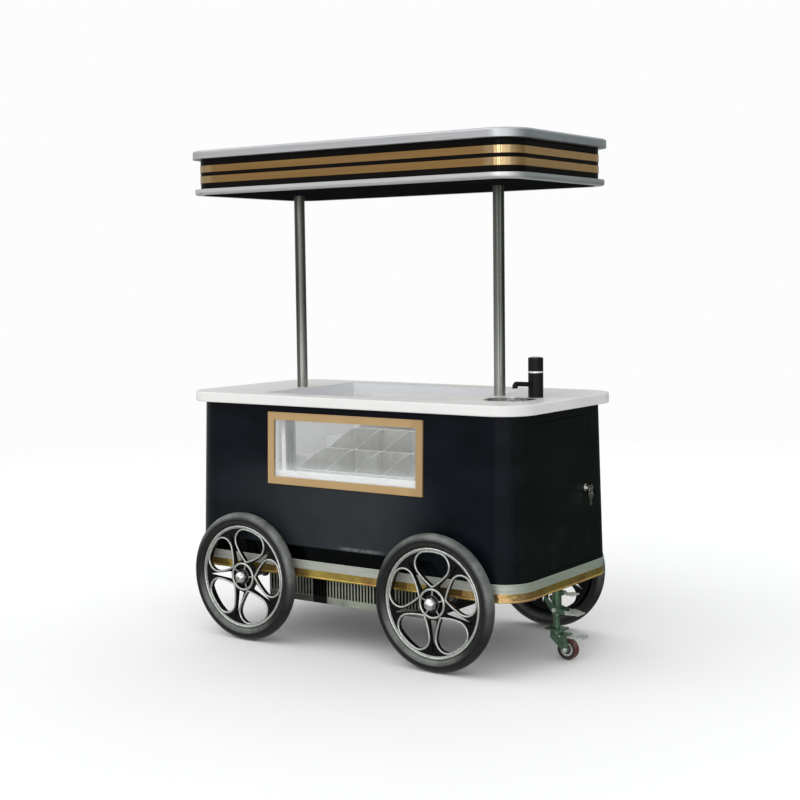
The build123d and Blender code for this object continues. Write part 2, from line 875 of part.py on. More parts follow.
# Sink: a spun bowl with a flat rim and a drain stub
bowl_floor = counter_top_z - sink_depth
wall_foot_z = counter_top_z - sink_wall_height
sink_plane = Plane((sink_x, sink_y, 0), x_dir=(1, 0, 0), z_dir=(0, -1, 0))
with BuildPart() as sink_bowl:
    with BuildSketch(sink_plane):
        with BuildLine():
            Polyline(
                (drain_radius, bowl_floor - drain_length),
                (drain_radius, bowl_floor),
                (sink_floor_radius, bowl_floor + sink_floor_rise),
                (sink_radius - sink_sheet, wall_foot_z),
                (sink_radius - sink_sheet, counter_top_z),
                (sink_radius + sink_rim, counter_top_z),
                (sink_radius + sink_rim, counter_top_z - sink_sheet),
                (sink_radius, counter_top_z - sink_sheet),
                (sink_radius, wall_foot_z),
                (sink_floor_radius + sink_sheet, bowl_floor + sink_floor_rise - sink_sheet),
                (drain_radius + sink_sheet, bowl_floor - sink_sheet),
                (drain_radius + sink_sheet, bowl_floor - drain_length),
                close=True,
            )
        make_face()
    revolve(axis=Axis((sink_x, sink_y, 0), (0, 0, 1)))
keep(sink_bowl, "sink_bowl")

# Pump: a black tower with a spout over the sink and a push button on top
pump_top_z = counter_top_z + pump_height
ring_z = counter_top_z + pump_ring_z
to_sink = Vector(sink_x - pump_x, sink_y - pump_y, 0).normalized()
across_spout = Vector(0, 0, 1).cross(to_sink)
pump_axis = Vector(pump_x, pump_y, 0)
spout_root = pump_axis + Vector(0, 0, counter_top_z + spout_z)
spout_pitch = degrees(atan2(spout_rise, spout_reach - spout_bend - pump_radius / 2))
spout_side = Plane(spout_root, x_dir=to_sink, z_dir=to_sink.cross(Vector(0, 0, 1)))
with BuildPart() as pump_body:
    with BuildSketch(Plane((pump_x, pump_y, counter_top_z - pump_seat))):
        Circle(pump_radius)
    extrude(amount=pump_height + pump_seat)
    fillet(pump_body.faces().sort_by(Axis.Z)[-1].edges(), pump_edge_round)
    with BuildSketch(Plane((pump_x, pump_y, ring_z))):
        Circle(pump_radius + pump_ring_depth)
        Circle(pump_radius - pump_ring_depth, mode=Mode.SUBTRACT)
    extrude(amount=pump_ring_height, mode=Mode.SUBTRACT)
    with BuildLine(spout_side):
        arm = Line((pump_radius / 2, 0), (spout_reach - spout_bend, spout_rise))
        turn = JernArc(arm @ 1, arm % 1, spout_bend, -90 - spout_pitch)
        Line(turn @ 1, turn @ 1 - Vector(0, 0, spout_drop))
    with BuildSketch(Plane(arm @ 0, x_dir=across_spout, z_dir=arm % 0)):
        RectangleRounded(spout_width, spout_width, spout_width / 3)
    sweep()
    with BuildSketch(Plane((pump_x, pump_y, counter_top_z))):
        Circle(pump_stub_radius)
    extrude(amount=-pump_stub_length)
    with BuildSketch(Plane((pump_x, pump_y, pump_top_z))):
        Circle(button_radius + button_gap)
    extrude(amount=-button_depth, mode=Mode.SUBTRACT)
keep(pump_body, "pump_body")

with BuildPart() as pump_ring:
    with BuildSketch(Plane((pump_x, pump_y, ring_z))):
        Circle(pump_radius + pump_ring_proud)
        Circle(pump_radius - pump_ring_depth, mode=Mode.SUBTRACT)
    extrude(amount=pump_ring_height)
keep(pump_ring, "pump_ring")

with BuildPart() as pump_button:
    with BuildSketch(Plane((pump_x, pump_y, pump_top_z + button_proud))):
        Circle(button_radius)
    extrude(amount=-button_depth)
    fillet(pump_button.faces().sort_by(Axis.Z)[-1].edges(), button_edge_round)
keep(pump_button, "pump_button")

# Water bottle, waste tank and pipes in the cabinet under the wash point
cabinet_floor_z = body_bottom_z + floor_sheet
bottle_top_z = cabinet_floor_z + bottle_height
bottle_plane = Plane((*bottle_xy, 0), x_dir=(1, 0, 0), z_dir=(0, -1, 0))
with BuildPart() as water_bottle:
    with BuildSketch(bottle_plane):
        with BuildLine():
            Polyline(
                (0, cabinet_floor_z),
                (bottle_radius, cabinet_floor_z),
                (bottle_radius, cabinet_floor_z + bottle_shoulder),
                (neck_radius, bottle_top_z - neck_length),
                (neck_radius, bottle_top_z),
                (0, bottle_top_z),
                close=True,
            )
        make_face()
    revolve(axis=Axis((*bottle_xy, 0), (0, 0, 1)))
    fillet(water_bottle.edges().filter_by(GeomType.CIRCLE).sort_by(Axis.Z)[0:2], bottle_round)
    offset(amount=-bottle_sheet, openings=water_bottle.faces().sort_by(Axis.Z)[-1])
keep(water_bottle, "water_bottle")

tank_length, tank_width, tank_height = tank_size
tank_top_z = cabinet_floor_z + tank_height
with BuildPart() as waste_tank:
    with BuildSketch(Plane((*tank_xy, cabinet_floor_z))):
        RectangleRounded(tank_length, tank_width, tank_corner)
    extrude(amount=tank_height)
    fillet(waste_tank.faces().filter_by(Axis.Z).edges(), tank_edge_round)
    with BuildSketch(Plane((sink_x, sink_y, tank_top_z))):
        Circle(tank_neck_radius)
    extrude(amount=tank_neck_length)
    offset(amount=-tank_sheet, openings=waste_tank.faces().sort_by(Axis.Z)[-1])
keep(waste_tank, "waste_tank")

drain_bottom_z = bowl_floor - drain_length
pump_foot_z = counter_top_z - pump_stub_length
with BuildPart() as wash_pipes:
    with BuildSketch(Plane((sink_x, sink_y, drain_bottom_z))):
        Circle(drain_radius)
        Circle(drain_radius - drain_pipe_wall, mode=Mode.SUBTRACT)
    extrude(amount=tank_top_z - drain_bottom_z)
    with BuildLine() as supply_route:
        FilletPolyline(
            (pump_x, pump_y, pump_foot_z),
            (pump_x, pump_y, pump_foot_z - pipe_drop),
            (*bottle_xy, bottle_top_z + pipe_lead),
            (*bottle_xy, bottle_top_z - pipe_dip),
            radius=pipe_bend,
        )
    with BuildSketch(Plane((pump_x, pump_y, pump_foot_z))):
        Circle(pipe_radius)
        Circle(pipe_radius - pipe_wall, mode=Mode.SUBTRACT)
    sweep(path=supply_route.line)
keep(wash_pipes, "wash_pipes")

# Door with a pin at its top and bottom front corners
lock_face = Plane(end_face.from_local_coords((lock_y, 0, 0)), x_dir=end_face.x_dir, z_dir=end_face.z_dir)
with BuildPart() as end_door:
    with BuildSketch(door_foot) as door_plan:
        Rectangle(2 * door_half_width, door_thickness, align=(Align.CENTER, Align.MIN))
        hinge_corner = door_plan.vertices().group_by(Axis.X)[0].sort_by(Axis.Y)[0]
        fillet(hinge_corner, door_hinge_round)
    extrude(amount=door_height)
    with BuildSketch(door_foot.offset(-door_pin_length)):
        with Locations(door_pin_place):
            Circle(door_pin_radius)
    extrude(amount=door_height + 2 * door_pin_length)
    with BuildSketch(lock_face):
        Circle(lock_radius + running_gap)
    extrude(amount=-door_thickness, mode=Mode.SUBTRACT)
keep(end_door, "end_door")

# Lock barrel with its cam behind the door, turned by the key
with BuildPart() as door_lock:
    with BuildSketch(lock_face.offset(-cam_depth)):
        Circle(lock_radius)
    extrude(amount=cam_depth + lock_proud)
    with BuildSketch(lock_face.offset(side_gap)):
        Circle(lock_radius + lock_collar)
    extrude(amount=lock_proud - side_gap)
    fillet(door_lock.faces().sort_by(Axis.X)[-1].edges(), lock_edge_round)
    with BuildSketch(lock_face.offset(-cam_depth)):
        with Locations((0, cam_reach / 2)):
            SlotCenterToCenter(cam_reach, cam_width, rotation=90)
    extrude(amount=cam_thickness)
    with BuildSketch(lock_face.offset(lock_proud)):
        Rectangle(key_thickness, key_blade_width)
    extrude(amount=-key_blade_depth, mode=Mode.SUBTRACT)
keep(door_lock, "door_lock")

# Keys are drawn side on: local X points out of the lock and local Y up the slope
key_side = Plane(lock_face.origin, x_dir=end_face.z_dir, z_dir=(0, -1, 0))
key_cut = key_side.offset(-key_thickness / 2)
bow_out = lock_proud + key_bow_gap + key_bow_radius
with BuildPart() as lock_key:
    with BuildSketch(key_cut):
        with Locations((bow_out, 0)):
            Circle(key_bow_radius)
            Circle(key_hole_radius, mode=Mode.SUBTRACT)
        with Locations((lock_proud - key_blade_depth, 0)):
            Rectangle(key_blade_depth + key_bow_gap + key_root, key_blade_width, align=(Align.MIN, Align.CENTER))
    extrude(amount=key_thickness)
keep(lock_key, "lock_key")

# Ring through the key's bow, with a second key hanging from it
ring_top = key_ring_wire + key_ring_slack - key_hole_radius
ring_middle = ring_top - key_ring_radius
spare_hole = ring_middle - key_ring_radius - key_hole_radius + key_ring_wire + key_ring_slack
ring_centre = key_side.from_local_coords((bow_out, ring_middle, 0))
with BuildPart() as spare_key:
    with BuildSketch(Plane(ring_centre + Vector(0, key_ring_radius, 0), x_dir=(0, 1, 0), z_dir=key_side.y_dir)):
        Circle(key_ring_wire)
    revolve(axis=Axis(ring_centre, end_face.z_dir))
    with BuildSketch(key_cut):
        with Locations((bow_out, spare_hole - spare_bow_drop)):
            Circle(key_bow_radius)
        with Locations((bow_out, spare_hole - spare_bow_drop - key_bow_radius + key_root)):
            Rectangle(*spare_blade, align=(Align.CENTER, Align.MAX))
        with Locations((bow_out, spare_hole)):
            Circle(key_hole_radius, mode=Mode.SUBTRACT)
    extrude(amount=key_thickness)
keep(spare_key, "spare_key")

# Caster sleeve welded under the end rail, slotted for the pedal bolt, with lugs for the release pedal
sleeve_top_z = gold_bottom_z - sleeve_plate_thickness
with BuildPart() as caster_sleeve:
    with BuildSketch(Plane((caster_x, 0, sleeve_bottom_z))):
        Circle(sleeve_radius)
    extrude(amount=gold_bottom_z - sleeve_bottom_z)
    with BuildSketch(Plane((caster_x, 0, sleeve_top_z))):
        RectangleRounded(*sleeve_plate, sleeve_plate_corner)
    extrude(amount=sleeve_plate_thickness)
    with BuildSketch(Plane((caster_x - gusset_thickness / 2, 0, sleeve_top_z), x_dir=(0, 1, 0), z_dir=(1, 0, 0))):
        with BuildLine():
            Polyline((-gusset_half_width, 0), (gusset_half_width, 0), (0, -gusset_drop), close=True)
        make_face()
    extrude(amount=gusset_thickness)
    for side in (-1, 1):
        with BuildSketch(Plane.XZ.offset(side * lug_gap / 2)):
            with Locations((release_pin_x, release_pin_z)):
                Circle(lug_radius)
            with Locations((caster_x, release_pin_z)):
                Rectangle(release_pin_x - caster_x, 2 * lug_radius, align=(Align.MIN, Align.CENTER))
        extrude(amount=side * lug_thickness)
    with BuildSketch(Plane.XZ):
        with Locations((release_pin_x, release_pin_z)):
            Circle(release_pin_radius)
    extrude(amount=lug_gap / 2, both=True)
    with BuildSketch(Plane((caster_x, 0, sleeve_bottom_z))):
        Circle(leg_radius + leg_gap)
    extrude(amount=sleeve_top_z - sleeve_bottom_z, mode=Mode.SUBTRACT)
    with BuildSketch(Plane.XZ):
        with Locations((caster_x, pedal_bolt_z + leg_travel / 2)):
            slot_run = leg_travel + 2 * (pedal_bolt_radius + bolt_end_play)
            SlotOverall(slot_run, 2 * (pedal_bolt_radius + bolt_side_play), rotation=90)
    extrude(amount=sleeve_radius + lug_thickness, both=True, mode=Mode.SUBTRACT)
    with BuildSketch(Plane.YZ.offset(caster_x)):
        with Locations((0, release_pin_z)):
            Rectangle(2 * release_arm_half_width + 2, release_window_height)
    extrude(amount=sleeve_radius + release_nose_gap, mode=Mode.SUBTRACT)
keep(caster_sleeve, "caster_sleeve")

# Leg: a tube on a square base plate, with the kingpin's hole in the plate
plate_top_z = base_plate_z + base_plate_thickness
with BuildPart() as caster_leg:
    with BuildSketch(Plane((caster_x, 0, plate_top_z))):
        Circle(leg_radius)
        Circle(leg_radius - leg_wall, mode=Mode.SUBTRACT)
    extrude(amount=leg_top_z - plate_top_z)
    with BuildSketch(Plane((caster_x, 0, base_plate_z))):
        RectangleRounded(*base_plate_size, base_plate_corner)
        Circle(kingpin_radius + running_gap, mode=Mode.SUBTRACT)
    extrude(amount=base_plate_thickness)
    with BuildSketch(Plane.XZ):
        with Locations((caster_x, pedal_bolt_z)):
            Circle(pedal_bolt_radius + running_gap)
    extrude(amount=2 * leg_radius, both=True, mode=Mode.SUBTRACT)
keep(caster_leg, "caster_leg")

# Lift pedal: two cranked cheeks astride the sleeve, joined by the tread at the tip
cheek_y = sleeve_radius + pedal_cheek_gap
bolt_half = cheek_y + pedal_cheek
tread_x = caster_x + tread_start
tread_tip_x = tread_x + tread_length
tread_root_z = pedal_bolt_z + tread_thickness / 2
with BuildPart() as lift_pedal:
    for side in (-1, 1):
        with BuildSketch(Plane.XZ.offset(-side * cheek_y)):
            with Locations((caster_x, pedal_bolt_z)):
                Circle(pedal_boss_radius)
            with Locations((caster_x + crank_offset[0], pedal_bolt_z + crank_offset[1])):
                Circle(crank_radius)
            make_hull()
        extrude(amount=-side * pedal_cheek)
        with BuildSketch(Plane.XZ.offset(-side * cheek_y)):
            with Locations((caster_x, pedal_bolt_z)):
                Circle(pedal_boss_radius)
            with Locations(((tread_x + tread_tip_x) / 2, pedal_bolt_z - tread_drop)):
                Circle(tread_thickness)
            make_hull()
        extrude(amount=-side * pedal_cheek)
    with BuildSketch(Plane.XZ):
        with BuildLine():
            Polyline(
                (tread_x, tread_root_z),
                (tread_tip_x, tread_root_z - tread_drop),
                (tread_tip_x, tread_root_z - tread_drop - tread_thickness),
                (tread_x, tread_root_z - tread_thickness),
                close=True,
            )
        make_face()
    extrude(amount=tread_half_width, both=True)
    with BuildSketch(Plane.XZ):
        with Locations((caster_x, pedal_bolt_z)):
            Circle(pedal_bolt_radius + running_gap)
    extrude(amount=bolt_half, both=True, mode=Mode.SUBTRACT)
keep(lift_pedal, "lift_pedal")


def cross_bolt(x, z, radius, half_length):
    """A bolt across the cart with a hexagon at each end."""
    with BuildPart() as bolt:
        with BuildSketch(Plane.XZ):
            with Locations((x, z)):
                Circle(radius)
        extrude(amount=half_length, both=True)
        for side in (-1, 1):
            with BuildSketch(Plane.XZ.offset(side * half_length)):
                with Locations((x, z)):
                    RegularPolygon(bolt_head_radius, 6)
            extrude(amount=side * bolt_head_height)
    return bolt


keep(cross_bolt(caster_x, pedal_bolt_z, pedal_bolt_radius, bolt_half), "pedal_bolt")

# Release pedal on the sleeve's lugs
with BuildPart() as release_pedal:
    with BuildSketch(Plane.XZ):
        with Locations((release_pin_x, release_pin_z)):
            Circle(release_boss_radius)
        with Locations((caster_x + leg_radius + release_nose_gap, release_pin_z)):
            Rectangle(*release_arm, align=(Align.MIN, Align.CENTER))
        with Locations((release_pin_x, release_pin_z)):
            Circle(release_pin_radius + running_gap, mode=Mode.SUBTRACT)
    extrude(amount=release_arm_half_width, both=True)
    with BuildSketch(Plane((caster_x + release_tread_offset, 0, release_pin_z - release_arm[1] / 2))):
        RectangleRounded(*release_tread, release_tread_corner)
    extrude(amount=release_tread_thickness)
keep(release_pedal, "release_pedal")

# Swivel fork: a crown under the base plate, a kingpin with its head inside the leg, and two cheeks
axle_x = caster_x + caster_trail
axle_z = caster_wheel_radius
crown_z = base_plate_z - crown_height
kingpin_head_z = plate_top_z + swivel_gap
fork_mid_x = caster_x + fork_top_shift
fork_half = fork_gap / 2 + fork_sheet
with BuildPart() as caster_fork:
    with BuildSketch(Plane((caster_x, 0, crown_z))):
        Circle(crown_radius)
    extrude(amount=crown_height - swivel_gap)
    fillet(caster_fork.faces().sort_by(Axis.Z)[-1].edges(), crown_round)
    with BuildSketch(Plane((caster_x, 0, crown_z))):
        Circle(kingpin_radius)
    extrude(amount=kingpin_head_z - crown_z)
    with BuildSketch(Plane((caster_x, 0, kingpin_head_z))):
        Circle(kingpin_head_radius)
    extrude(amount=kingpin_head_height)
    with BuildSketch(Plane((fork_mid_x, 0, crown_z - fork_sheet))):
        Rectangle(fork_top[0], 2 * fork_half)
    extrude(amount=fork_sheet)
    for side in (-1, 1):
        with BuildSketch(Plane.XZ.offset(-side * fork_gap / 2)):
            with Locations((axle_x, axle_z)):
                Circle(fork_eye_radius)
            with Locations((fork_mid_x, crown_z - fork_top[1] / 2)):
                Rectangle(*fork_top)
            make_hull()
            with Locations((axle_x, axle_z)):
                Circle(caster_axle_radius + running_gap, mode=Mode.SUBTRACT)
            with Locations((brake_pin_x, brake_pin_z)):
                Circle(brake_pin_radius + running_gap, mode=Mode.SUBTRACT)
        extrude(amount=-side * fork_sheet)
keep(caster_fork, "caster_fork")

keep(cross_bolt(axle_x, axle_z, caster_axle_radius, fork_half), "caster_axle")

# Caster wheel: a soft tread on a web that is recessed round the bearing
caster_hub = Plane((axle_x, 0, axle_z), x_dir=(1, 0, 0), z_dir=(0, -1, 0))
half_tread = caster_wheel_width / 2
web_half = half_tread - caster_web_recess
edge_radius = caster_wheel_radius - caster_edge[0]
edge_half = half_tread - caster_edge[1]
with BuildPart() as caster_wheel:
    with BuildSketch(wheel_section(caster_hub)):
        with BuildLine():
            Polyline(
                (caster_axle_radius + running_gap, 0),
                (caster_axle_radius + running_gap, half_tread + bearing_proud),
                (bearing_radius, half_tread + bearing_proud),
                (bearing_radius, web_half),
                (caster_tread_inner, web_half),
                (caster_tread_inner, half_tread),
                (edge_radius, half_tread),
                (caster_wheel_radius, edge_half),
                (caster_wheel_radius, 0),
                close=True,
            )
        make_face()
        mirror(about=Plane.XZ)
    revolve(axis=Axis(caster_hub.origin, caster_hub.z_dir))
keep(caster_wheel, "caster_wheel")

# Brake pedal between the fork's cheeks, with a wide tread that rises beyond the wheel to a curled lip
tread_side = [(50, -4), (60, -3), (90, 3), (92, -4), (95, -4), (94, 7), (60, 1), (50, 0)]
lever_side = [(-6, -5), (38, -5), (60, -3), (60, 1), (36, 2), (-6, 2)]
brake_pivot = Plane((brake_pin_x, 0, brake_pin_z), x_dir=(1, 0, 0), z_dir=(0, -1, 0))
with BuildPart() as brake_pedal:
    for outline, half_width in (
        (lever_side, fork_gap / 2 - brake_side_gap),
        (tread_side, brake_tread_half_width),
    ):
        with BuildSketch(brake_pivot):
            with BuildLine():
                Polyline(*outline, close=True)
            make_face()
        extrude(amount=half_width, both=True)
    with BuildSketch(brake_pivot):
        Circle(brake_pin_radius)
    extrude(amount=fork_half + fork_sheet, both=True)
keep(brake_pedal, "brake_pedal")
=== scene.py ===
# %% [markdown]
# # Dressing a snack cart
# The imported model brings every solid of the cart, at its true size and place, with its joints.
# This lesson adds what solids cannot show: the camera, the light, the finishes, and the fine
# rounded edges that catch a highlight. Lengths are in metres, X runs along the cart, Z is up.

# %% Load the cart
import bpy
import numpy as np
from mathutils import Matrix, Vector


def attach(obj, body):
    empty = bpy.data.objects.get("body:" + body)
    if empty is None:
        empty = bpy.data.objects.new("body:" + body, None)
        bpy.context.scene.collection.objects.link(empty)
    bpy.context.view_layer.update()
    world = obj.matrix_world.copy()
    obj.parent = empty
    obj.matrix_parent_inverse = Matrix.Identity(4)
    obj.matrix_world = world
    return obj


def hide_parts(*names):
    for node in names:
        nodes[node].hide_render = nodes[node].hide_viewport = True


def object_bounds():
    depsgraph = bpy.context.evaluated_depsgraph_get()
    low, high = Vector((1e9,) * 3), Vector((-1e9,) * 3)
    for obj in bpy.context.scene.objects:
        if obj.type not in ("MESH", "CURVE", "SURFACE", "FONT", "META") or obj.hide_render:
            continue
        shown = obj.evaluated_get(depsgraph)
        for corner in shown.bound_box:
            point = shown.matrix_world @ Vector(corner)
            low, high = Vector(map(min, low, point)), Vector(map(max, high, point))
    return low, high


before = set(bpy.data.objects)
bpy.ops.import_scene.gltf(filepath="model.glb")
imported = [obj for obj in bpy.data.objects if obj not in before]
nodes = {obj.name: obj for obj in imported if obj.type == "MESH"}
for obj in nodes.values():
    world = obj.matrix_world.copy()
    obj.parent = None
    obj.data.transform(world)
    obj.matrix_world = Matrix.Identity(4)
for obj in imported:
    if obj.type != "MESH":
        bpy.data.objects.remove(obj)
cad_box = [list(corner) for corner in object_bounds()]
print("solids loaded:", len(nodes), "box:", cad_box)

# %% [markdown]
# ## Camera
# The photograph was taken from the front right at chest height. A camera can be placed by eye,
# but here its place and angles were solved from the cart's straight edges, so they are given as
# numbers. The three columns of the rotation are the picture's right, its up and its backwards.

# %% Camera from its place and angles
camera_place = np.array([3.3947, -4.7784, 1.4532])
turn, tilt, roll = np.radians([35.2585, 4.879, -0.703])
focal_pixels = 1458.1
picture_pixels = 800
sensor_mm = 36.0

forward = np.array([-np.sin(turn) * np.cos(tilt), np.cos(turn) * np.cos(tilt), -np.sin(tilt)])
level_right = np.array([np.cos(turn), np.sin(turn), 0.0])
level_up = np.cross(level_right, forward)
right = level_right * np.cos(roll) + level_up * np.sin(roll)
up = level_up * np.cos(roll) - level_right * np.sin(roll)

pose = np.eye(4)
pose[:3, 0] = right
pose[:3, 1] = up
pose[:3, 2] = -forward
pose[:3, 3] = camera_place
camera = bpy.data.objects.new("camera", bpy.data.cameras.new("camera"))
camera.data.sensor_width = sensor_mm
camera.data.lens = focal_pixels * sensor_mm / picture_pixels
camera.data.clip_end = 200
camera.matrix_world = Matrix(pose.tolist())
bpy.context.scene.collection.objects.link(camera)
bpy.context.scene.camera = camera
print("lens:", round(camera.data.lens, 1), "mm")

# %% [markdown]
# ## Shader maths as Python
# A finish is a small graph of nodes. Wiring it by hand hides the idea, so three helpers keep it
# readable. `Value` wraps a socket and turns `+`, `-`, `*`, `/` and `**` into Math nodes. `Graph`
# adds any other node through a single method. `Finish` is the graph of one material.

# %% Value, Graph and Finish
class Value:
    """A number that changes over a surface. Operators on it add Math nodes."""

    def __init__(self, graph, socket):
        self.graph = graph
        self.socket = socket

    def math(self, operation, *terms):
        """A Math node of that operation on the terms."""
        node = self.graph.node("ShaderNodeMath", {"operation": operation}, dict(enumerate(terms)))
        return Value(self.graph, node.outputs[0])

    def __add__(self, other):
        return self.math("ADD", self, other)

    __radd__ = __add__

    def __sub__(self, other):
        return self.math("SUBTRACT", self, other)

    def __rsub__(self, other):
        return self.math("SUBTRACT", other, self)

    def __mul__(self, other):
        return self.math("MULTIPLY", self, other)

    __rmul__ = __mul__

    def __truediv__(self, other):
        return self.math("DIVIDE", self, other)

    def __pow__(self, power):
        return self.math("POWER", self, power)

    def size(self):
        """Its distance from zero."""
        return self.math("ABSOLUTE", self)

    def most(self, other):
        """The larger of two values."""
        return self.math("MAXIMUM", self, other)

    def step(self, low, high):
        """0 below low, 1 above high, and a smooth rise between them."""
        node = self.graph.node(
            "ShaderNodeMapRange",
            {"interpolation_type": "SMOOTHSTEP"},
            {"Value": self, "From Min": low, "From Max": high},
        )
        return Value(self.graph, node.outputs[0])

    def within(self, low, high, soft):
        """1 between low and high, fading to 0 over a soft width outside them."""
        return self.step(low - soft, low) * (1 - self.step(high, high + soft))


class Graph:
    """A node tree that code fills in."""

    def __init__(self, tree):
        self.tree = tree

    def fill(self, socket, value):
        """Link a value to a socket, or set the socket to a constant."""
        if isinstance(value, Value):
            value = value.socket
        if isinstance(value, bpy.types.NodeSocket):
            self.tree.links.new(value, socket)
        elif isinstance(value, (tuple, list)) and socket.type == "RGBA" and len(value) == 3:
            socket.default_value = (*value, 1.0)
        else:
            socket.default_value = value

    def node(self, kind, settings=None, sockets=None):
        """Add a node of that kind, with its settings first and then its socket values or links."""
        node = self.tree.nodes.new(kind)
        for name, value in (settings or {}).items():
            setattr(node, name, value)
        for key, value in (sockets or {}).items():
            self.fill(node.inputs[key], value)
        return node

    def axes(self, kind="Object"):
        """The three coordinates of that kind as values."""
        coordinates = self.node("ShaderNodeTexCoord").outputs[kind]
        split = self.node("ShaderNodeSeparateXYZ", None, {0: coordinates})
        return [Value(self, socket) for socket in split.outputs]

    def blend(self, factor, first, second):
        """A colour between two colours."""
        node = self.node("ShaderNodeMix", {"data_type": "RGBA"}, {0: factor, 6: first, 7: second})
        return node.outputs[2]


class Finish(Graph):
    """One material with a Principled shader. Keyword values are set on the shader's own sockets."""

    def __init__(self, name, **constants):
        self.material = bpy.data.materials.new(name)
        self.material.use_nodes = True
        super().__init__(self.material.node_tree)
        self.shader = self.tree.nodes["Principled BSDF"]
        self.paint(**constants)

    def place(self, stretch):
        """Object coordinates, stretched."""
        coordinates = self.node("ShaderNodeTexCoord").outputs["Object"]
        return self.node("ShaderNodeMapping", None, {"Vector": coordinates, "Scale": stretch}).outputs[0]

    def noise(self, scale, detail, rough=0.55, stretch=(1, 1, 1)):
        """Soft cloudy values about one half."""
        node = self.node(
            "ShaderNodeTexNoise",
            None,
            {"Vector": self.place(stretch), "Scale": scale, "Detail": detail, "Roughness": rough},
        )
        return Value(self, node.outputs[0])

    def paint(self, **sockets):
        """Set or feed the shader's sockets, an underscore standing for a blank."""
        for words, value in sockets.items():
            self.fill(self.shader.inputs[words.replace("_", " ")], value)

    def bump(self, height, strength, distance=0.001):
        """Let a height tilt the surface's light."""
        node = self.node(
            "ShaderNodeBump", None, {"Height": height, "Strength": strength, "Distance": distance}
        )
        self.fill(self.shader.inputs["Normal"], node.outputs[0])
        return self


def dress(finish, *names):
    """Give CAD nodes one finish on all their slots."""
    for name in names:
        mesh = nodes[name].data
        mesh.materials.clear()
        mesh.materials.append(finish.material)
    print(finish.material.name, "on", ", ".join(names))


# %% [markdown]
# ## White counter and pale trim
# The counter is a cast white slab with faint clouding and wiping marks. Its outer edge is painted a
# little greyer than its top as shade, and the walls of the well a lighter, cooler white as painted light.
# One plain white would look like paper. The slab is mostly one colour, so the noise only moves it a
# little, and the roughness carries the smears that a low light shows. Steps on the coordinates tell top,
# edge and well apart.

# %% White counter
white = Finish("white_counter", IOR=1.45, Coat_Weight=0.15)
cloud = white.noise(5, 5)
smear = white.noise(9, 4, stretch=(1, 3, 1))
counter_height = 0.99
well_half_length, well_front, well_back, well_soft = 0.442, -0.308, 0.296, 0.002
along, across, height = white.axes()
on_top = height.step(counter_height - 0.006, counter_height - 0.001)
in_well = along.within(-well_half_length, well_half_length, well_soft)
in_well = in_well * across.within(well_front, well_back, well_soft)
top_white = white.blend(cloud.step(0.3, 0.75), (0.76, 0.75, 0.74), (0.69, 0.685, 0.68))
# The edge's greyer white is painted shade, and the well's lighter, cooler white is painted light
shaded_edge_white = white.blend(cloud.step(0.3, 0.75), (0.7, 0.69, 0.685), (0.655, 0.645, 0.64))
shaded_edge_lit_wall = white.blend(in_well, shaded_edge_white, (0.79, 0.8, 0.84))
white.paint(
    Base_Color=white.blend(on_top, shaded_edge_lit_wall, top_white),
    Roughness=0.26 + 0.2 * smear,
)
white.bump(white.noise(240, 2), 0.05)
dress(white, "counter_top")

# %% [markdown]
# The canopy's two rims are brushed aluminium sheet, with the grain running round the canopy and
# lengthwise on the lid, and a right end painted darker and greener as shade. Grain could be modelled
# as scratches, but noise that is stretched along the grain costs nothing. The liner is white sheet.
# The strip of light on its left wall is painted as a faint glow, because nothing in the cart shines
# there.

# %% Brushed rims and white liner
lid_height = cad_box[1][2]
rim_end_start, rim_end = 0.76, 0.797


def brushed_rim(name, light, dark):
    """Brushed aluminium with its right end painted dark as shade. Its grain runs round, and lengthwise on
    the lid.
    """
    pale = Finish(name, IOR=1.45)
    on_lid = pale.axes()[2].step(lid_height - 0.001, lid_height - 0.0004)
    round_grain = pale.noise(90, 4, stretch=(0.03, 0.03, 4))
    lid_grain = pale.noise(90, 4, stretch=(0.02, 3, 0.03))
    grain = round_grain * (1 - on_lid) + lid_grain * on_lid
    # The right end of the rim, not the lid, is painted dark teal as shade
    shaded_rim_end = 0.55 * pale.axes()[0].step(rim_end_start, rim_end) * (1 - on_lid)
    brushed = pale.blend(grain.step(0.3, 0.7), light, dark)
    pale.paint(
        Base_Color=pale.blend(shaded_rim_end, brushed, (0.16, 0.215, 0.225)),
        Roughness=0.3 + 0.16 * grain,
        Metallic=0.6 + 0.2 * grain,
    )
    return pale.bump(grain, 0.05)


dress(brushed_rim("brushed_lid", (0.505, 0.506, 0.524), (0.41, 0.411, 0.429)), "roof_top")
dress(brushed_rim("brushed_rim", (0.62, 0.622, 0.63), (0.51, 0.512, 0.52)), "roof_lower_rim")

liner_white = Finish("white_liner", IOR=1.45, Emission_Strength=1.0)
stain = liner_white.noise(6, 5)
along, across, height = liner_white.axes()
wall_end, glow_fade, glow_top, glow_front, glow_back = -0.425, 0.79, 0.86, -0.196, -0.178
on_left_wall = (1 - along.step(wall_end - 0.005, wall_end)) * (1 - height.step(glow_fade, glow_top))
lit_strip = on_left_wall * across.within(glow_front, glow_back, 0.006)
liner_white.paint(
    Base_Color=liner_white.blend(stain.step(0.35, 0.8), (0.84, 0.84, 0.84), (0.74, 0.74, 0.74)),
    Roughness=0.35 + 0.2 * stain,
    Emission_Color=liner_white.blend(lit_strip, (0, 0, 0), (0.33, 0.33, 0.32)),
)
liner_white.bump(liner_white.noise(300, 2), 0.05)
dress(liner_white, "display_liner")
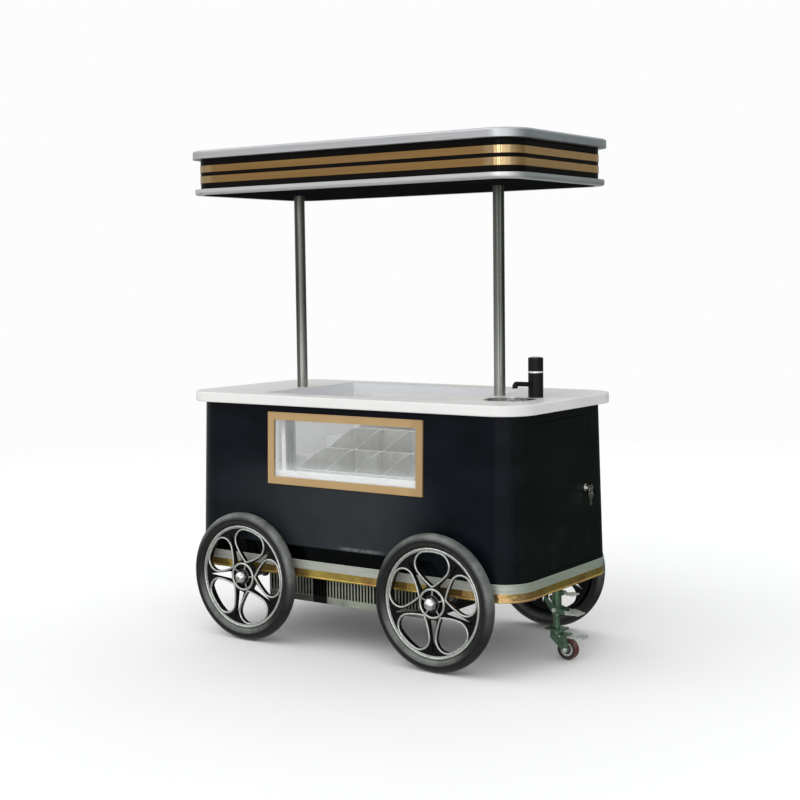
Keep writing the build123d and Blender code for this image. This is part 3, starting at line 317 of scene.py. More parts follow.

# %% [markdown]
# ## Black body
# The walls are gloss black with a little orange peel, painted with a cold blue reflection on the front
# and a duller olive one on the ends and the rear. Between the front wheels dust and a painted reflected
# sheen hang above a strip painted darker as a dark reflection, with a sharp lower edge and a painted
# highlight streak on it. Painting dust as colour alone looks flat, so the dust raises the roughness too.
# The right end has a faint smear. The canopy's wall is a warmer black, and its underside is matt board.

# %% Black panels
black = Finish("black_panel", IOR=1.45, Specular_IOR_Level=0.06)
along, across, height = black.axes()
on_front = 1 - across.step(-0.34, -0.3)
sheen_edge, film_fade, film_top = 0.399, 0.62, 0.78
film_left, film_full, film_thin, film_right = -0.9, 0.1, 0.15, 0.5
film_length = along.step(film_left, film_full) * (1 - along.step(film_thin, film_right))
above_edge = height.step(sheen_edge - 0.004, sheen_edge + 0.004)
film_height = above_edge * (1 - height.step(film_fade, film_top))
# Dust with a painted reflected sheen above the sharp edge, fading towards the right
dust_and_sheen = on_front * film_length * film_height * (0.6 + 0.7 * black.noise(9, 6, 0.65))
# A painted highlight streak just above the edge
highlight_streak = height.within(sheen_edge + 0.005, sheen_edge + 0.011, 0.006) * along.within(0.04, 0.14, 0.08)
highlight_streak = on_front * highlight_streak * black.noise(40, 4).step(0.2, 0.6)
wipe = black.noise(3, 5, stretch=(1, 1, 3))
# Blue on the front and olive on the ends and rear are painted reflection tints of one black paint
blue_reflected_black = black.blend(wipe.step(0.35, 0.7), (0.003, 0.004, 0.0058), (0.0052, 0.0069, 0.0104))
olive_reflected_black = black.blend(wipe.step(0.35, 0.7), (0.0046, 0.0061, 0.0051), (0.0066, 0.0087, 0.0073))
end_film = height.within(0.36, 0.44, 0.1) * across.within(-0.06, 0.12, 0.1) * along.step(0.7, 0.74)
smear = end_film * black.noise(7, 4).step(0.45, 0.7)
olive_reflected_black = black.blend(smear * 0.7, olive_reflected_black, (0.02, 0.024, 0.02))
# Below the edge on the left, a strip painted darker as a dark reflection
dark_reflection_strip = (1 - above_edge) * (1 - along.step(0.25, 0.55))
dark_reflected_blue = black.blend(dark_reflection_strip, blue_reflected_black, (0.0008, 0.001, 0.0012))
dusty = black.blend(dust_and_sheen * 0.52, black.blend(on_front, olive_reflected_black, dark_reflected_blue), (0.046, 0.053, 0.059))
black.paint(
    Base_Color=black.blend(highlight_streak * 0.8, dusty, (0.125, 0.135, 0.138)),
    Roughness=0.14 + 0.1 * wipe + 0.22 * dust_and_sheen + 0.18 * (1 - on_front),
)
black.bump(black.noise(85, 3), 0.035)
dress(black, "front_panel", "rear_panel", "left_end_panel", "right_end_panel", "end_door")

# %% Canopy wall and board
canopy_black = Finish("canopy_black", IOR=1.45, Specular_IOR_Level=0.03)
drift = canopy_black.noise(4, 5, stretch=(1, 1, 3))
canopy_black.paint(
    Base_Color=canopy_black.blend(
        drift.step(0.35, 0.7), (0.0046, 0.004, 0.0034), (0.007, 0.0062, 0.0054)
    ),
    Roughness=0.16 + 0.12 * drift,
)
canopy_black.bump(canopy_black.noise(85, 3), 0.035)
dress(canopy_black, "roof_fascia")

board = Finish("black_board", IOR=1.4, Specular_IOR_Level=0.0)
fibre = board.noise(30, 5, stretch=(0.2, 1, 1))
board.paint(
    Base_Color=board.blend(fibre, (0.004, 0.004, 0.0045), (0.009, 0.009, 0.01)),
    Roughness=0.45 + 0.25 * fibre,
)
board.bump(fibre, 0.08)
dress(board, "roof_soffit")

# %% [markdown]
# ## Gold
# Three golds: bright strip on the canopy, flat satin strip round the window, and a thin mirror
# foil round the base. They share a colour idea and differ in roughness and bump, which is what the
# eye reads as different stock. The canopy strip is a little wavy along its run and rippled at the
# bends, so the light there splits into upright streaks; its bends also carry a painted highlight, and
# its ends are painted lighter and less metallic as painted light. The foil swells slowly between
# yellow and copper, with fine creases that are stronger at the right end, dark copper patches painted
# as reflections of the wheels, and a painted highlight at its right front corner.

# %% Gold strip on the canopy
stripe_gold = Finish("gold_stripes")
brush = stripe_gold.noise(70, 3, stretch=(0.03, 0.03, 6))
wave = stripe_gold.noise(34, 2, stretch=(1, 1, 0.02))
ripple = stripe_gold.noise(85, 2, stretch=(1, 1, 0.02))
run = stripe_gold.axes()[0].size()
bend_start, bend_stop, end_start = (0.63, 0.67), (0.735, 0.757), (0.69, 0.745)
highlit_bend = run.step(*bend_start) * (1 - run.step(*bend_stop))
lit_end = run.step(*end_start)
# The pale gold on the bends is a painted highlight, and the lighter, less metallic ends are painted light
front_strip = stripe_gold.blend(brush.step(0.3, 0.7), (0.285, 0.162, 0.06), (0.335, 0.196, 0.078))
lit_end_strip = stripe_gold.blend(brush.step(0.3, 0.7), (0.42, 0.255, 0.1), (0.49, 0.3, 0.12))
flat_strip = stripe_gold.blend(lit_end, front_strip, lit_end_strip)
stripe_gold.paint(
    Base_Color=stripe_gold.blend(highlit_bend * 0.6, flat_strip, (0.5, 0.37, 0.22)),
    Roughness=0.2 + 0.1 * brush - 0.06 * highlit_bend,
    Metallic=1 - 0.3 * lit_end,
)
stripe_gold.bump(0.28 * wave + 0.42 * highlit_bend * ripple + 0.006 * brush, 1.0, 0.004)
dress(stripe_gold, "gold_stripes")

# %% Gold round the window
frame_gold = Finish("gold_frame", IOR=1.45)
drift = frame_gold.noise(5, 2)
line = frame_gold.noise(120, 2, stretch=(0.05, 1, 1))
# The right side of the frame is painted darker as shade
shaded_far_side = 0.6 * frame_gold.axes()[0].step(0.3, 0.36)
satin_gold = frame_gold.blend(drift.step(0.3, 0.7), (0.515, 0.338, 0.162), (0.565, 0.374, 0.188))
frame_gold.paint(
    Base_Color=frame_gold.blend(shaded_far_side, satin_gold, (0.4, 0.265, 0.135)),
    Roughness=0.34 + 0.12 * line,
    Metallic=0.45 + 0.2 * drift,
)
frame_gold.bump(line, 0.05)
dress(frame_gold, "window_frame")

# %% Gold foil round the base
foil = Finish("gold_band", Metallic=0.8)
along, across, _ = foil.axes()
at_end = along.step(0.6, 0.72)
swell = foil.noise(5, 2, 0.5, stretch=(1, 1, 0.6))
crease = foil.noise(38, 3, 0.6, stretch=(1, 1, 0.6))
yellow = foil.blend(crease.step(0.35, 0.7), (0.56, 0.4, 0.1), (0.46, 0.32, 0.075))
copper = foil.blend(crease.step(0.35, 0.7), (0.52, 0.31, 0.11), (0.3, 0.15, 0.05))
on_front = 1 - across.step(-0.3, -0.2)
# The two patches near the wheels are dark copper painted as reflections of the wheels
left_patch = along.within(-0.27, -0.2, 0.03)
right_patch = along.within(0.44, 0.56, 0.05)
wheel_reflection = on_front * left_patch.most(right_patch)
# The right front corner is painted a paler copper as a painted highlight
corner_highlight = along.within(0.62, 0.75, 0.06) * on_front
flat_foil = foil.blend(0.8 * swell.step(0.42, 0.6).most(wheel_reflection), yellow, copper)
foil.paint(
    Base_Color=foil.blend(0.7 * corner_highlight, flat_foil, (0.56, 0.36, 0.175)),
    Roughness=0.08 + 0.14 * crease,
)
foil.bump(swell + crease * (0.05 + 0.2 * at_end), 1.0, 0.01)
dress(foil, "gold_band")

# %% [markdown]
# ## Steel
# Posts, sink, band and caster are steel in several states: tube with drawn grain and painted reflection
# streaks, painted lighter near the counter as its reflection, a bowl with turned rings, satin strip with
# a right end painted dark as shade, dull zinc pedals, and a leg and fork of zinc painted dark green as a
# reflection. One steel for all would look like one casting. Each gets grain along the way it was drawn,
# rolled or turned, or the blotches of its plating bath.

# %% Posts and sink bowl
tube = Finish("polished_steel", Metallic=0.7)
# The drawn grain's streaks are also painted reflections, and the post is painted lighter near the counter
# as its reflection
grain_and_painted_streaks = tube.noise(95, 3, stretch=(1, 1, 0.006))
finger = tube.noise(11, 5)
counter_reflection_fade = tube.axes()[2].step(counter_height + 0.01, 1.4)
steel_with_counter_reflection = tube.blend(grain_and_painted_streaks.step(0.4, 0.6), (0.12, 0.125, 0.112), (0.32, 0.327, 0.3))
high_steel = tube.blend(grain_and_painted_streaks.step(0.4, 0.6), (0.024, 0.027, 0.022), (0.15, 0.155, 0.134))
tube.paint(
    Base_Color=tube.blend(counter_reflection_fade, steel_with_counter_reflection, high_steel),
    Roughness=0.18 + 0.1 * grain_and_painted_streaks + 0.08 * finger,
)
tube.bump(grain_and_painted_streaks, 0.06)
dress(tube, "left_post", "right_post")

sink_x, sink_y = 0.62, -0.152
turning_marks = 1500
bowl_steel = Finish("sink_steel", Metallic=1.0)
along, across, _ = bowl_steel.axes()
from_drain = ((along - sink_x) ** 2 + (across - sink_y) ** 2) ** 0.5
rings = from_drain.math("SINE", from_drain * turning_marks)
lime = bowl_steel.noise(45, 4)
bowl_steel.paint(
    Base_Color=bowl_steel.blend(lime.step(0.3, 0.7), (0.4, 0.4, 0.39), (0.72, 0.72, 0.71)),
    Roughness=0.14 + 0.16 * lime,
)
bowl_steel.bump(rings + 0.3 * lime, 0.12, 0.0005)
dress(bowl_steel, "sink_bowl")

# %% Silver band
strip = Finish("silver_band", Metallic=0.35)
rolled = strip.noise(50, 4, stretch=(0.08, 0.08, 2))
# The right end is painted dark green-grey as shade
shaded_band_end = 0.45 * strip.axes()[0].step(0.72, 0.78)
satin_strip = strip.blend(rolled.step(0.3, 0.7), (0.36, 0.375, 0.335), (0.44, 0.455, 0.405))
strip.paint(
    Base_Color=strip.blend(shaded_band_end, satin_strip, (0.19, 0.265, 0.185)),
    Roughness=0.3 + 0.15 * rolled,
)
strip.bump(rolled, 0.08)
dress(strip, "silver_band")

# %% Zinc, and zinc painted green as a reflection, on the caster
zinc = Finish("zinc_steel", Metallic=0.55)
bloom = zinc.noise(70, 5, 0.6)
scuff = zinc.noise(18, 5)
zinc.paint(
    Base_Color=zinc.blend(bloom.step(0.3, 0.75), (0.74, 0.76, 0.74), (0.46, 0.49, 0.47)),
    Roughness=0.22 + 0.25 * scuff,
)
zinc.bump(bloom, 0.1)
dress(zinc, "pedal_bolt", "release_pedal", "caster_axle", "brake_pedal")

# Sleeve, leg and fork are zinc painted green all over as a reflection, and the lift pedal's tread is worn
# to bare zinc
def zinc_with_green_reflection(name, bare_from):
    """Blotchy zinc painted green as a reflection, worn to bare zinc beyond a distance along the cart."""
    zinc_finish = Finish(name, Metallic=0.55)
    along, _, _ = zinc_finish.axes()
    blotch = zinc_finish.noise(28, 5, 0.6).step(0.3, 0.75)
    # The green stands in as a painted reflection on zinc
    green = zinc_finish.blend(blotch, (0.12, 0.21, 0.135), (0.04, 0.075, 0.05))
    zinc_grey = zinc_finish.blend(blotch, (0.74, 0.76, 0.74), (0.46, 0.49, 0.47))
    zinc_finish.paint(
        Base_Color=zinc_finish.blend(along.step(bare_from - 0.004, bare_from + 0.004), green, zinc_grey),
        Roughness=0.2 + 0.2 * blotch,
    )
    return zinc_finish.bump(zinc_finish.noise(90, 3), 0.08)


dress(zinc_with_green_reflection("caster_zinc_green_reflection", 1.0), "caster_sleeve", "caster_leg", "caster_fork")
dress(zinc_with_green_reflection("pedal_zinc_green_reflection", 0.778), "lift_pedal")

# %% [markdown]
# ## Metal under the floor
# Behind the vent bars there is a duct, its inside painted near-black as shade, with a finned condenser
# painted dark as shade, and above them a steel floor on a painted chassis. Dirt settles on all of it, so
# a coarse noise darkens the metal and makes it rougher. The vent bars are painted near-black over a patch
# and along the left of their lower lip, cut out by steps on the coordinates.

# %% Sheet, duct and vent bars
sheet = Finish("sheet_steel", Metallic=0.9)
spangle = sheet.noise(45, 3, 0.5)
grime = sheet.noise(8, 6)
sheet.paint(
    Base_Color=sheet.blend(grime.step(0.35, 0.8), (0.4, 0.41, 0.41), (0.16, 0.16, 0.15)),
    Roughness=0.34 + 0.3 * grime,
)
sheet.bump(spangle, 0.06)
dress(sheet, "floor_pan", "axles", "bin_uprights")

duct = Finish("vent_duct", Metallic=0.6)
soot = duct.noise(10, 5)
duct_inside, duct_outside = 0.338, 0.345
outside = duct.axes()[1].size().step(duct_inside, duct_outside)
# The duct's inside is painted near-black as shade
duct_face = duct.blend(soot.step(0.35, 0.8), (0.37, 0.38, 0.35), (0.18, 0.19, 0.165))
duct.paint(
    Base_Color=duct.blend(outside, (0.006, 0.0065, 0.0055), duct_face),
    Roughness=0.4 + 0.3 * soot,
)
duct.bump(duct.noise(45, 3, 0.5), 0.06)
dress(duct, "vent_housing")

grille = Finish("vent_grille", Metallic=0.75)
film = grille.noise(12, 6)
along, across, height = grille.axes()
slot_bottom, patch_left, patch_right = 0.2, -0.165, -0.1
# The bars are painted near-black over a patch and along the left of their lower lip
dark_lip = 0.6 * (1 - along.step(-0.16, -0.02)) * (1 - height.step(slot_bottom - 0.004, slot_bottom))
dark_patch = along.within(patch_left, patch_right, 0.006)
darkened_bars = dark_lip.most(dark_patch) * (1 - across.step(-0.1, 0.1))
bars = grille.blend(film.step(0.3, 0.75), (0.43, 0.45, 0.38), (0.23, 0.24, 0.2))
grille.paint(
    Base_Color=grille.blend(darkened_bars, bars, (0.004, 0.0045, 0.004)),
    Roughness=0.32 + 0.25 * film,
)
grille.bump(grille.noise(200, 2), 0.06)
dress(grille, "vent_grilles")

# %% Chassis and condenser
chassis = Finish("chassis_paint", IOR=1.45)
speck = chassis.noise(90, 4)
chassis.paint(
    Base_Color=chassis.blend(speck.step(0.4, 0.7), (0.02, 0.02, 0.022), (0.04, 0.04, 0.042)),
    Roughness=0.4 + 0.2 * speck,
)
chassis.bump(speck, 0.1)
dress(chassis, "chassis_frame", "compressor")

fin = Finish("fin_aluminium", Metallic=0.9)
lint = fin.noise(25, 5)
# The fins are painted nearly black as shade behind the vent bars
fin.paint(
    Base_Color=fin.blend(lint.step(0.4, 0.8), (0.06, 0.06, 0.057), (0.025, 0.025, 0.023)),
    Roughness=0.35 + 0.25 * lint,
)
fin.bump(fin.noise(300, 2), 0.05)
dress(fin, "condenser")

# %% [markdown]
# ## Small bright metal
# Hub caps and lock are chrome, the pump's ring is satin, and the keys are worn nickel. Chrome shows
# little but its surroundings, so a slight unevenness in its bump breaks up the mirror.

# %% Chrome, satin ring and keys
bright = Finish("chrome", Metallic=1.0)
haze = bright.noise(30, 4)
bright.paint(
    Base_Color=bright.blend(haze.step(0.35, 0.8), (0.72, 0.72, 0.73), (0.5, 0.5, 0.51)),
    Roughness=0.06 + 0.12 * haze,
)
bright.bump(bright.noise(90, 3), 0.7, 0.003)
hub_caps = [name for name in nodes if name.endswith("hub_cap")]
dress(bright, *hub_caps, "door_lock")

satin = Finish("satin_ring", Metallic=0.4)
lathe = satin.noise(200, 3, stretch=(0.2, 0.2, 4))
satin.paint(
    Base_Color=satin.blend(lathe, (0.72, 0.72, 0.72), (0.86, 0.86, 0.86)),
    Roughness=0.24 + 0.16 * lathe,
)
satin.bump(lathe, 0.05)
dress(satin, "pump_ring")

key_metal = Finish("key_metal", Metallic=1.0)
worn = key_metal.noise(160, 4)
key_metal.paint(
    Base_Color=key_metal.blend(worn.step(0.35, 0.7), (0.62, 0.6, 0.55), (0.42, 0.4, 0.35)),
    Roughness=0.2 + 0.2 * worn,
)
key_metal.bump(worn, 0.06)
dress(key_metal, "lock_key", "spare_key")

# %% [markdown]
# ## Cast wheels
# Each wheel is painted gloss black, and its rim, hub ring and hub ribs are then turned bright on a
# lathe. Two measures tell metal from paint: the depth along the axle, and the distance from it. The
# same distance places the tyre's painted light, on its upper shoulder and low on its side wall, and the
# rings of colour on the caster's small wheel.

# %% Black paint and turned metal on one casting
wheel_x, wheel_y, wheel_z = 0.457, 0.425, 0.258
skim_depth = wheel_y + 0.0095
cast = Finish("cast_wheel", IOR=1.5, Specular_IOR_Level=0.12)
along, across, height = cast.axes()
from_axle = ((along.size() - wheel_x) ** 2 + (height - wheel_z) ** 2) ** 0.5
rim_start, hub_start, hub_stop, sharp = 0.194, 0.03, 0.056, 0.0006
turned_rim = from_axle.step(rim_start - 0.0005, rim_start + 0.0005)
turned_hub = from_axle.within(hub_start, hub_stop, sharp)
bare = across.size().step(skim_depth - sharp, skim_depth + sharp) * turned_rim.most(turned_hub)
skim = cast.noise(60, 4)
turned_metal = cast.blend(skim, (0.46, 0.47, 0.46), (0.3, 0.31, 0.3))
cast.paint(
    Base_Color=cast.blend(bare, (0.0045, 0.005, 0.0048), turned_metal),
    Metallic=bare * 0.55,
    Roughness=0.16 + 0.12 * skim + 0.12 * bare,
)
cast.bump(cast.noise(180, 3), 0.06)
cast_wheels = [name for name in nodes if name.endswith("_wheel") and name != "caster_wheel"]
dress(cast, *cast_wheels)

# %% Rubber with painted light and chalky dust
rubber = Finish("tyre", IOR=1.5, Specular_IOR_Level=0.38)
chalk = rubber.noise(14, 6, 0.6)
pore = rubber.noise(260, 3)
along, _, height = rubber.axes()
outward = along - wheel_x * along.math("SIGN", along)
rise = height - wheel_z
from_axle = (outward**2 + rise**2) ** 0.5
light_lean, light_lift = 0.34, 0.94
facing_light = (light_lean * outward + light_lift * rise) / from_axle
shoulder_start, shoulder_full, lit_wall_inner, lit_wall_outer, lit_wall_soft = 0.229, 0.246, 0.209, 0.222, 0.011
# Painted light: the upper shoulder and the low side wall are lighter where they face the light
lit_shoulder = from_axle.step(shoulder_start, shoulder_full) * facing_light.step(-0.15, 0.7)
lit_wall = from_axle.within(lit_wall_inner, lit_wall_outer, lit_wall_soft) * (1 - facing_light.step(-0.9, -0.35))
# Here worn is painted light on the rubber, mottled by chalky dust
worn = lit_shoulder.most(lit_wall) * (0.4 + 0.6 * chalk.step(0.3, 0.7))
rubber.paint(
    Base_Color=rubber.blend(worn, (0.0045, 0.0052, 0.005), (0.155, 0.162, 0.154)),
    Roughness=0.24 + 0.18 * chalk,
)
rubber.bump(pore, 0.1)
tyres = [name for name in nodes if name.endswith("_tyre")]
dress(rubber, *tyres)

# %% Caster wheel
# It is one solid: a bright bearing, a dark seal, a pale hub wall and a red tread whose side edges are
# painted dark as shade
caster_x, caster_z = 0.781, 0.04
bearing_edge, pale_start, pale_stop, red_start = 0.0115, 0.0185, 0.0255, 0.028
tread_flat, tread_edge = 0.0135, 0.0168
caster_tread = Finish("caster_tread", IOR=1.5)
along, across, height = caster_tread.axes()
radius = ((along - caster_x) ** 2 + (height - caster_z) ** 2) ** 0.5
tread = radius.step(red_start - 0.0004, red_start + 0.0004)
pale_ring = radius.within(pale_start, pale_stop, 0.0008)
bearing_ring = 1 - radius.step(bearing_edge - 0.0005, bearing_edge + 0.0005)
rolled_dirt = caster_tread.noise(60, 5)
dark_hub = caster_tread.blend(rolled_dirt, (0.015, 0.016, 0.015), (0.03, 0.032, 0.03))
pale_hub = caster_tread.blend(rolled_dirt, (0.5, 0.5, 0.48), (0.3, 0.31, 0.29))
red = caster_tread.blend(rolled_dirt.step(0.35, 0.75), (0.13, 0.028, 0.024), (0.06, 0.02, 0.018))
# The tread's side edges are painted dark as shade
red = caster_tread.blend(across.size().step(tread_flat, tread_edge), red, (0.022, 0.014, 0.013))
hub_colour = caster_tread.blend(pale_ring.most(bearing_ring), dark_hub, pale_hub)
caster_tread.paint(
    Base_Color=caster_tread.blend(tread, hub_colour, red),
    Roughness=0.26 + 0.25 * rolled_dirt,
    Metallic=bearing_ring * 0.8,
)
caster_tread.bump(rolled_dirt, 0.08)
dress(caster_tread, "caster_wheel")

# %% [markdown]
# ## Plastics and glass
# The bins are clear sheet that has gone a little grey, and the window is thin glass. Real
# refraction through many thin walls costs time and turns dark, so both are mostly see-through
# by alpha, with the gloss left on top and a pale glow painted low on the window. The pump, the
# tank, the bottle and the pipes are moulded, with the soft grain of a mould.

# %% Clear bins and window
clear = Finish("clear_bins", IOR=1.49)
scratch = clear.noise(40, 5, stretch=(1, 1, 0.3))
clear.paint(
    Base_Color=clear.blend(scratch, (0.45, 0.45, 0.41), (0.62, 0.62, 0.575)),
    Roughness=0.12 + 0.15 * scratch,
    Alpha=0.36 + 0.24 * scratch,
)
clear.bump(scratch, 0.04)
dress(clear, "front_bin_row", "middle_bin_row", "rear_bin_row")

pane = Finish("window_glass", IOR=1.5)
breath = pane.noise(6, 5)
pane_bottom, haze_top = 0.665, 0.735
# A pale, less clear band low on the pane is painted light
low_painted_glow = 0.24 * (1 - pane.axes()[2].step(pane_bottom, haze_top))
pane.paint(
    Base_Color=pane.blend(breath, (0.8, 0.84, 0.84), (0.9, 0.92, 0.92)),
    Roughness=0.03 + 0.06 * breath,
    Alpha=0.07 + 0.07 * breath.step(0.4, 0.8) + low_painted_glow,
)
dress(pane, "window_glass")

# %% Pump
matt_black = Finish("pump_black", IOR=1.45, Specular_IOR_Level=0.2)
stipple = matt_black.noise(420, 3)
rub = matt_black.noise(20, 5)
matt_black.paint(
    Base_Color=matt_black.blend(rub.step(0.35, 0.8), (0.0035, 0.0035, 0.0038), (0.009, 0.009, 0.0094)),
    Roughness=0.36 + 0.2 * rub,
)
matt_black.bump(stipple, 0.12)
dress(matt_black, "pump_body")

button_grey = Finish("pump_button", IOR=1.45, Coat_Weight=0.4)
touch = button_grey.noise(45, 4)
button_grey.paint(
    Base_Color=button_grey.blend(touch, (0.17, 0.17, 0.165), (0.26, 0.26, 0.255)),
    Roughness=0.18 + 0.18 * touch,
)
button_grey.bump(button_grey.noise(300, 2), 0.05)
dress(button_grey, "pump_button")

# %% Tank, bottle and pipes
milky = Finish("tank_plastic", IOR=1.5)
sludge = milky.noise(10, 4)
milky.paint(
    Base_Color=milky.blend(sludge, (0.62, 0.68, 0.74), (0.75, 0.8, 0.83)),
    Roughness=0.3 + 0.2 * sludge,
    Alpha=0.75 + 0.2 * sludge,
)
milky.bump(milky.noise(120, 2), 0.06)
dress(milky, "waste_tank", "water_bottle")

pipe_grey = Finish("pipe", IOR=1.5)
chalky = pipe_grey.noise(30, 4)
pipe_grey.paint(
    Base_Color=pipe_grey.blend(chalky, (0.32, 0.33, 0.34), (0.42, 0.43, 0.44)),
    Roughness=0.35 + 0.2 * chalky,
)
pipe_grey.bump(chalky, 0.05)
dress(pipe_grey, "wash_pipes")

# %% [markdown]
# ## Surfaces from arrays
# Every added piece is a grid of points worked out at once with numpy. One helper turns grids that
# close on themselves both ways into a mesh, and another carries an oval section along a closed path.

# %% Grid to mesh, and a section along a path
def surface(name, grids, finish, body):
    """One piece from grids of points, rows x columns x 3, each joined to itself in both directions.

    A grid whose faces enclose a negative volume is turned inside out, so that all faces look outwards."""
    corners = []
    faces = []
    start = 0
    for grid in grids:
        rows, columns = grid.shape[:2]
        near = start + np.arange(rows * columns).reshape(rows, columns)
        far = np.roll(near, -1, 0)
        quads = np.stack([near, far, np.roll(far, -1, 1), np.roll(near, -1, 1)], -1).reshape(-1, 4)
        points = grid.reshape(-1, 3)
        first, second, third, fourth = (points[quads[:, place] - start] for place in range(4))
        volume = (np.cross(third - first, fourth - second) * (first + second + third + fourth)).sum()
        faces.append(quads if volume > 0 else quads[:, ::-1])
        corners.append(points)
        start += rows * columns
    corners = np.concatenate(corners)
    faces = np.concatenate(faces)
    mesh = bpy.data.meshes.new(name)
    mesh.from_pydata(corners.tolist(), [], faces.tolist())
    mesh.polygons.foreach_set("use_smooth", np.ones(len(faces), bool))
    mesh.materials.append(finish.material)
    piece = bpy.data.objects.new(name, mesh)
    bpy.context.scene.collection.objects.link(piece)
    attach(piece, body)
    print(name, "faces:", len(faces))
    return piece


def bead(path, up, wide, high, sides=12):
    """An oval carried round a closed path: each point moves wide*cos sideways and high*sin upwards.

    Sideways is the path's direction crossed with up, so the oval stays square to both."""
    along = np.roll(path, -1, 0) - np.roll(path, 1, 0)
    sideways = np.cross(along, up)
    sideways /= np.linalg.norm(sideways, axis=1, keepdims=True)
    angle = np.linspace(0, 2 * np.pi, sides, endpoint=False)[:, None]
    spread = wide * np.cos(angle) * sideways[:, None, :]
    return path[:, None, :] + spread + high * np.sin(angle) * np.asarray(up, float)


def rounded_loop(half_x, half_y, corner, count):
    """Evenly spaced points round a rectangle whose corners are quarter circles, anticlockwise."""
    per_bend = 16
    quarter = np.repeat(np.arange(4), per_bend)
    angle = quarter * np.pi / 2 + np.tile(np.linspace(0, np.pi / 2, per_bend), 4)
    middle_x = (half_x - corner) * np.where((quarter == 0) | (quarter == 3), 1, -1)
    middle_y = (half_y - corner) * np.where(quarter < 2, 1, -1)
    bends = np.stack([middle_x + corner * np.cos(angle), middle_y + corner * np.sin(angle)], 1)
    bends = np.concatenate([bends, bends[:1]])
    run = np.concatenate([[0], np.cumsum(np.linalg.norm(np.diff(bends, axis=0), axis=1))])
    stations = np.linspace(0, run[-1], count, endpoint=False)
    return np.stack([np.interp(stations, run, bends[:, axis]) for axis in (0, 1)], 1)


# %% [markdown]
# ## Polished edges of the wheels
# On the real wheel the rim, the petal openings and the hub ring end in fat rounded edges that are
# polished bright. The solid has a flat lip there. An oval bead along the same outline gives the
# edge its round highlight. The outline is the one the casting uses: two side arcs, an outer arc
# about the hub, and a fillet at each outer corner.

# %% Petal outline
petal_tip, petal_reach, petal_belly, petal_fillet = 0.064, 0.189, 0.009, 0.044
petal_spread = np.radians(31)
lip_middle = 0.003


def arc(middle, radius, start, stop, count):
    """Points on a circle from one angle to another, moved out by half the lip."""
    angle = np.linspace(start, stop, count)
    away = np.stack([np.cos(angle), np.sin(angle)], 1)
    return middle + (radius + lip_middle) * away


def bearing(point):
    """The angle of a point seen from the origin."""
    return np.arctan2(point[1], point[0])


tip = np.array([petal_tip, 0.0])
corner = petal_reach * np.array([np.cos(petal_spread), np.sin(petal_spread)])
belly = (tip + corner) / 2 + petal_belly * np.array([-np.sin(petal_spread), np.cos(petal_spread)])
sides = 2 * np.array([belly - tip, corner - tip])
squares = np.array([belly @ belly - tip @ tip, corner @ corner - tip @ tip])
side_middle = np.linalg.solve(sides, squares)
side_radius = np.linalg.norm(tip - side_middle)

# The fillet's centre is a known distance from the hub and from the side arc's centre
hub_reach = petal_reach - petal_fillet
side_reach = side_radius - petal_fillet
apart = np.linalg.norm(side_middle)
toward = side_middle / apart
foot = (hub_reach**2 - side_reach**2 + apart**2) / (2 * apart)
rise = np.sqrt(hub_reach**2 - foot**2)
fillet_choices = [foot * toward + sign * rise * np.array([-toward[1], toward[0]]) for sign in (-1, 1)]
fillet_middle = max(fillet_choices, key=lambda point: point[0])

leave = bearing(fillet_middle - side_middle)
turn_out = bearing(fillet_middle)
upper = np.concatenate([
    arc(tip, 0, np.pi, bearing(tip - side_middle), 6),
    arc(side_middle, side_radius, bearing(tip - side_middle), leave, 20)[1:],
    arc(fillet_middle, petal_fillet, leave, turn_out, 16)[1:],
    arc(np.zeros(2), petal_reach, turn_out, 0, 10)[1:],
])
petal_loop = np.concatenate([upper, upper[-2:0:-1] * (1, -1)])
print("petal outline points:", len(petal_loop), "fillet centre:", fillet_middle)

# %% Beads on the four wheels
# Each wheel's end of the cart, its side, and the angle of its first petal in degrees
wheel_corners = {
    "front_left": (-1, -1, 75),
    "front_right": (1, -1, 90),
    "rear_left": (-1, 1, 60),
    "rear_right": (1, 1, 100),
}


def on_wheel(flat, depth, end, side):
    """Points of a wheel's own plane set in the cart's frame, depth metres out along the axle."""
    x = end * wheel_x - side * flat[:, 0]
    y = np.full(len(flat), side * (wheel_y + depth))
    return np.stack([x, y, wheel_z + flat[:, 1]], 1)


def circle(radius, count=160):
    """Evenly spaced points round a circle about the origin."""
    angle = np.linspace(0, 2 * np.pi, count, endpoint=False)
    return radius * np.stack([np.cos(angle), np.sin(angle)], 1)


polish = Finish("polished_edge", Metallic=0.7)
buff = polish.noise(80, 4)
polish.paint(
    Base_Color=polish.blend(buff.step(0.35, 0.75), (0.55, 0.56, 0.54), (0.36, 0.37, 0.35)),
    Roughness=0.18 + 0.14 * buff,
)
polish.bump(polish.noise(200, 3), 0.05)

rim_radius, ring_radius, ring_depth, petal_depth, petal_count = 0.2025, 0.0525, 0.0125, 0.0098, 5
rim_bead, ring_bead, petal_bead = (0.0045, 0.0045), (0.0045, 0.004), (0.0036, 0.004)
for corner_name, (end, side, first_petal) in wheel_corners.items():
    axle = (0, side, 0)
    grids = [
        bead(on_wheel(circle(rim_radius), ring_depth, end, side), axle, *rim_bead),
        bead(on_wheel(circle(ring_radius), ring_depth, end, side), axle, *ring_bead),
    ]
    for petal in range(petal_count):
        angle = np.radians(first_petal + 360 / petal_count * petal)
        turned = petal_loop @ np.array([[np.cos(angle), np.sin(angle)], [-np.sin(angle), np.cos(angle)]])
        grids.append(bead(on_wheel(turned, petal_depth, end, side), axle, *petal_bead))
    surface(f"{corner_name}_polished_edges", grids, polish, f"{corner_name}_wheel")

# %% [markdown]
# ## Tyres
# The solid tyre is a plain rounded ring. A real one has moulding rings on its side walls and two
# shallow grooves round the tread. All of them are rings, so one section with small dips and ribs,
# turned about the axle, holds them.

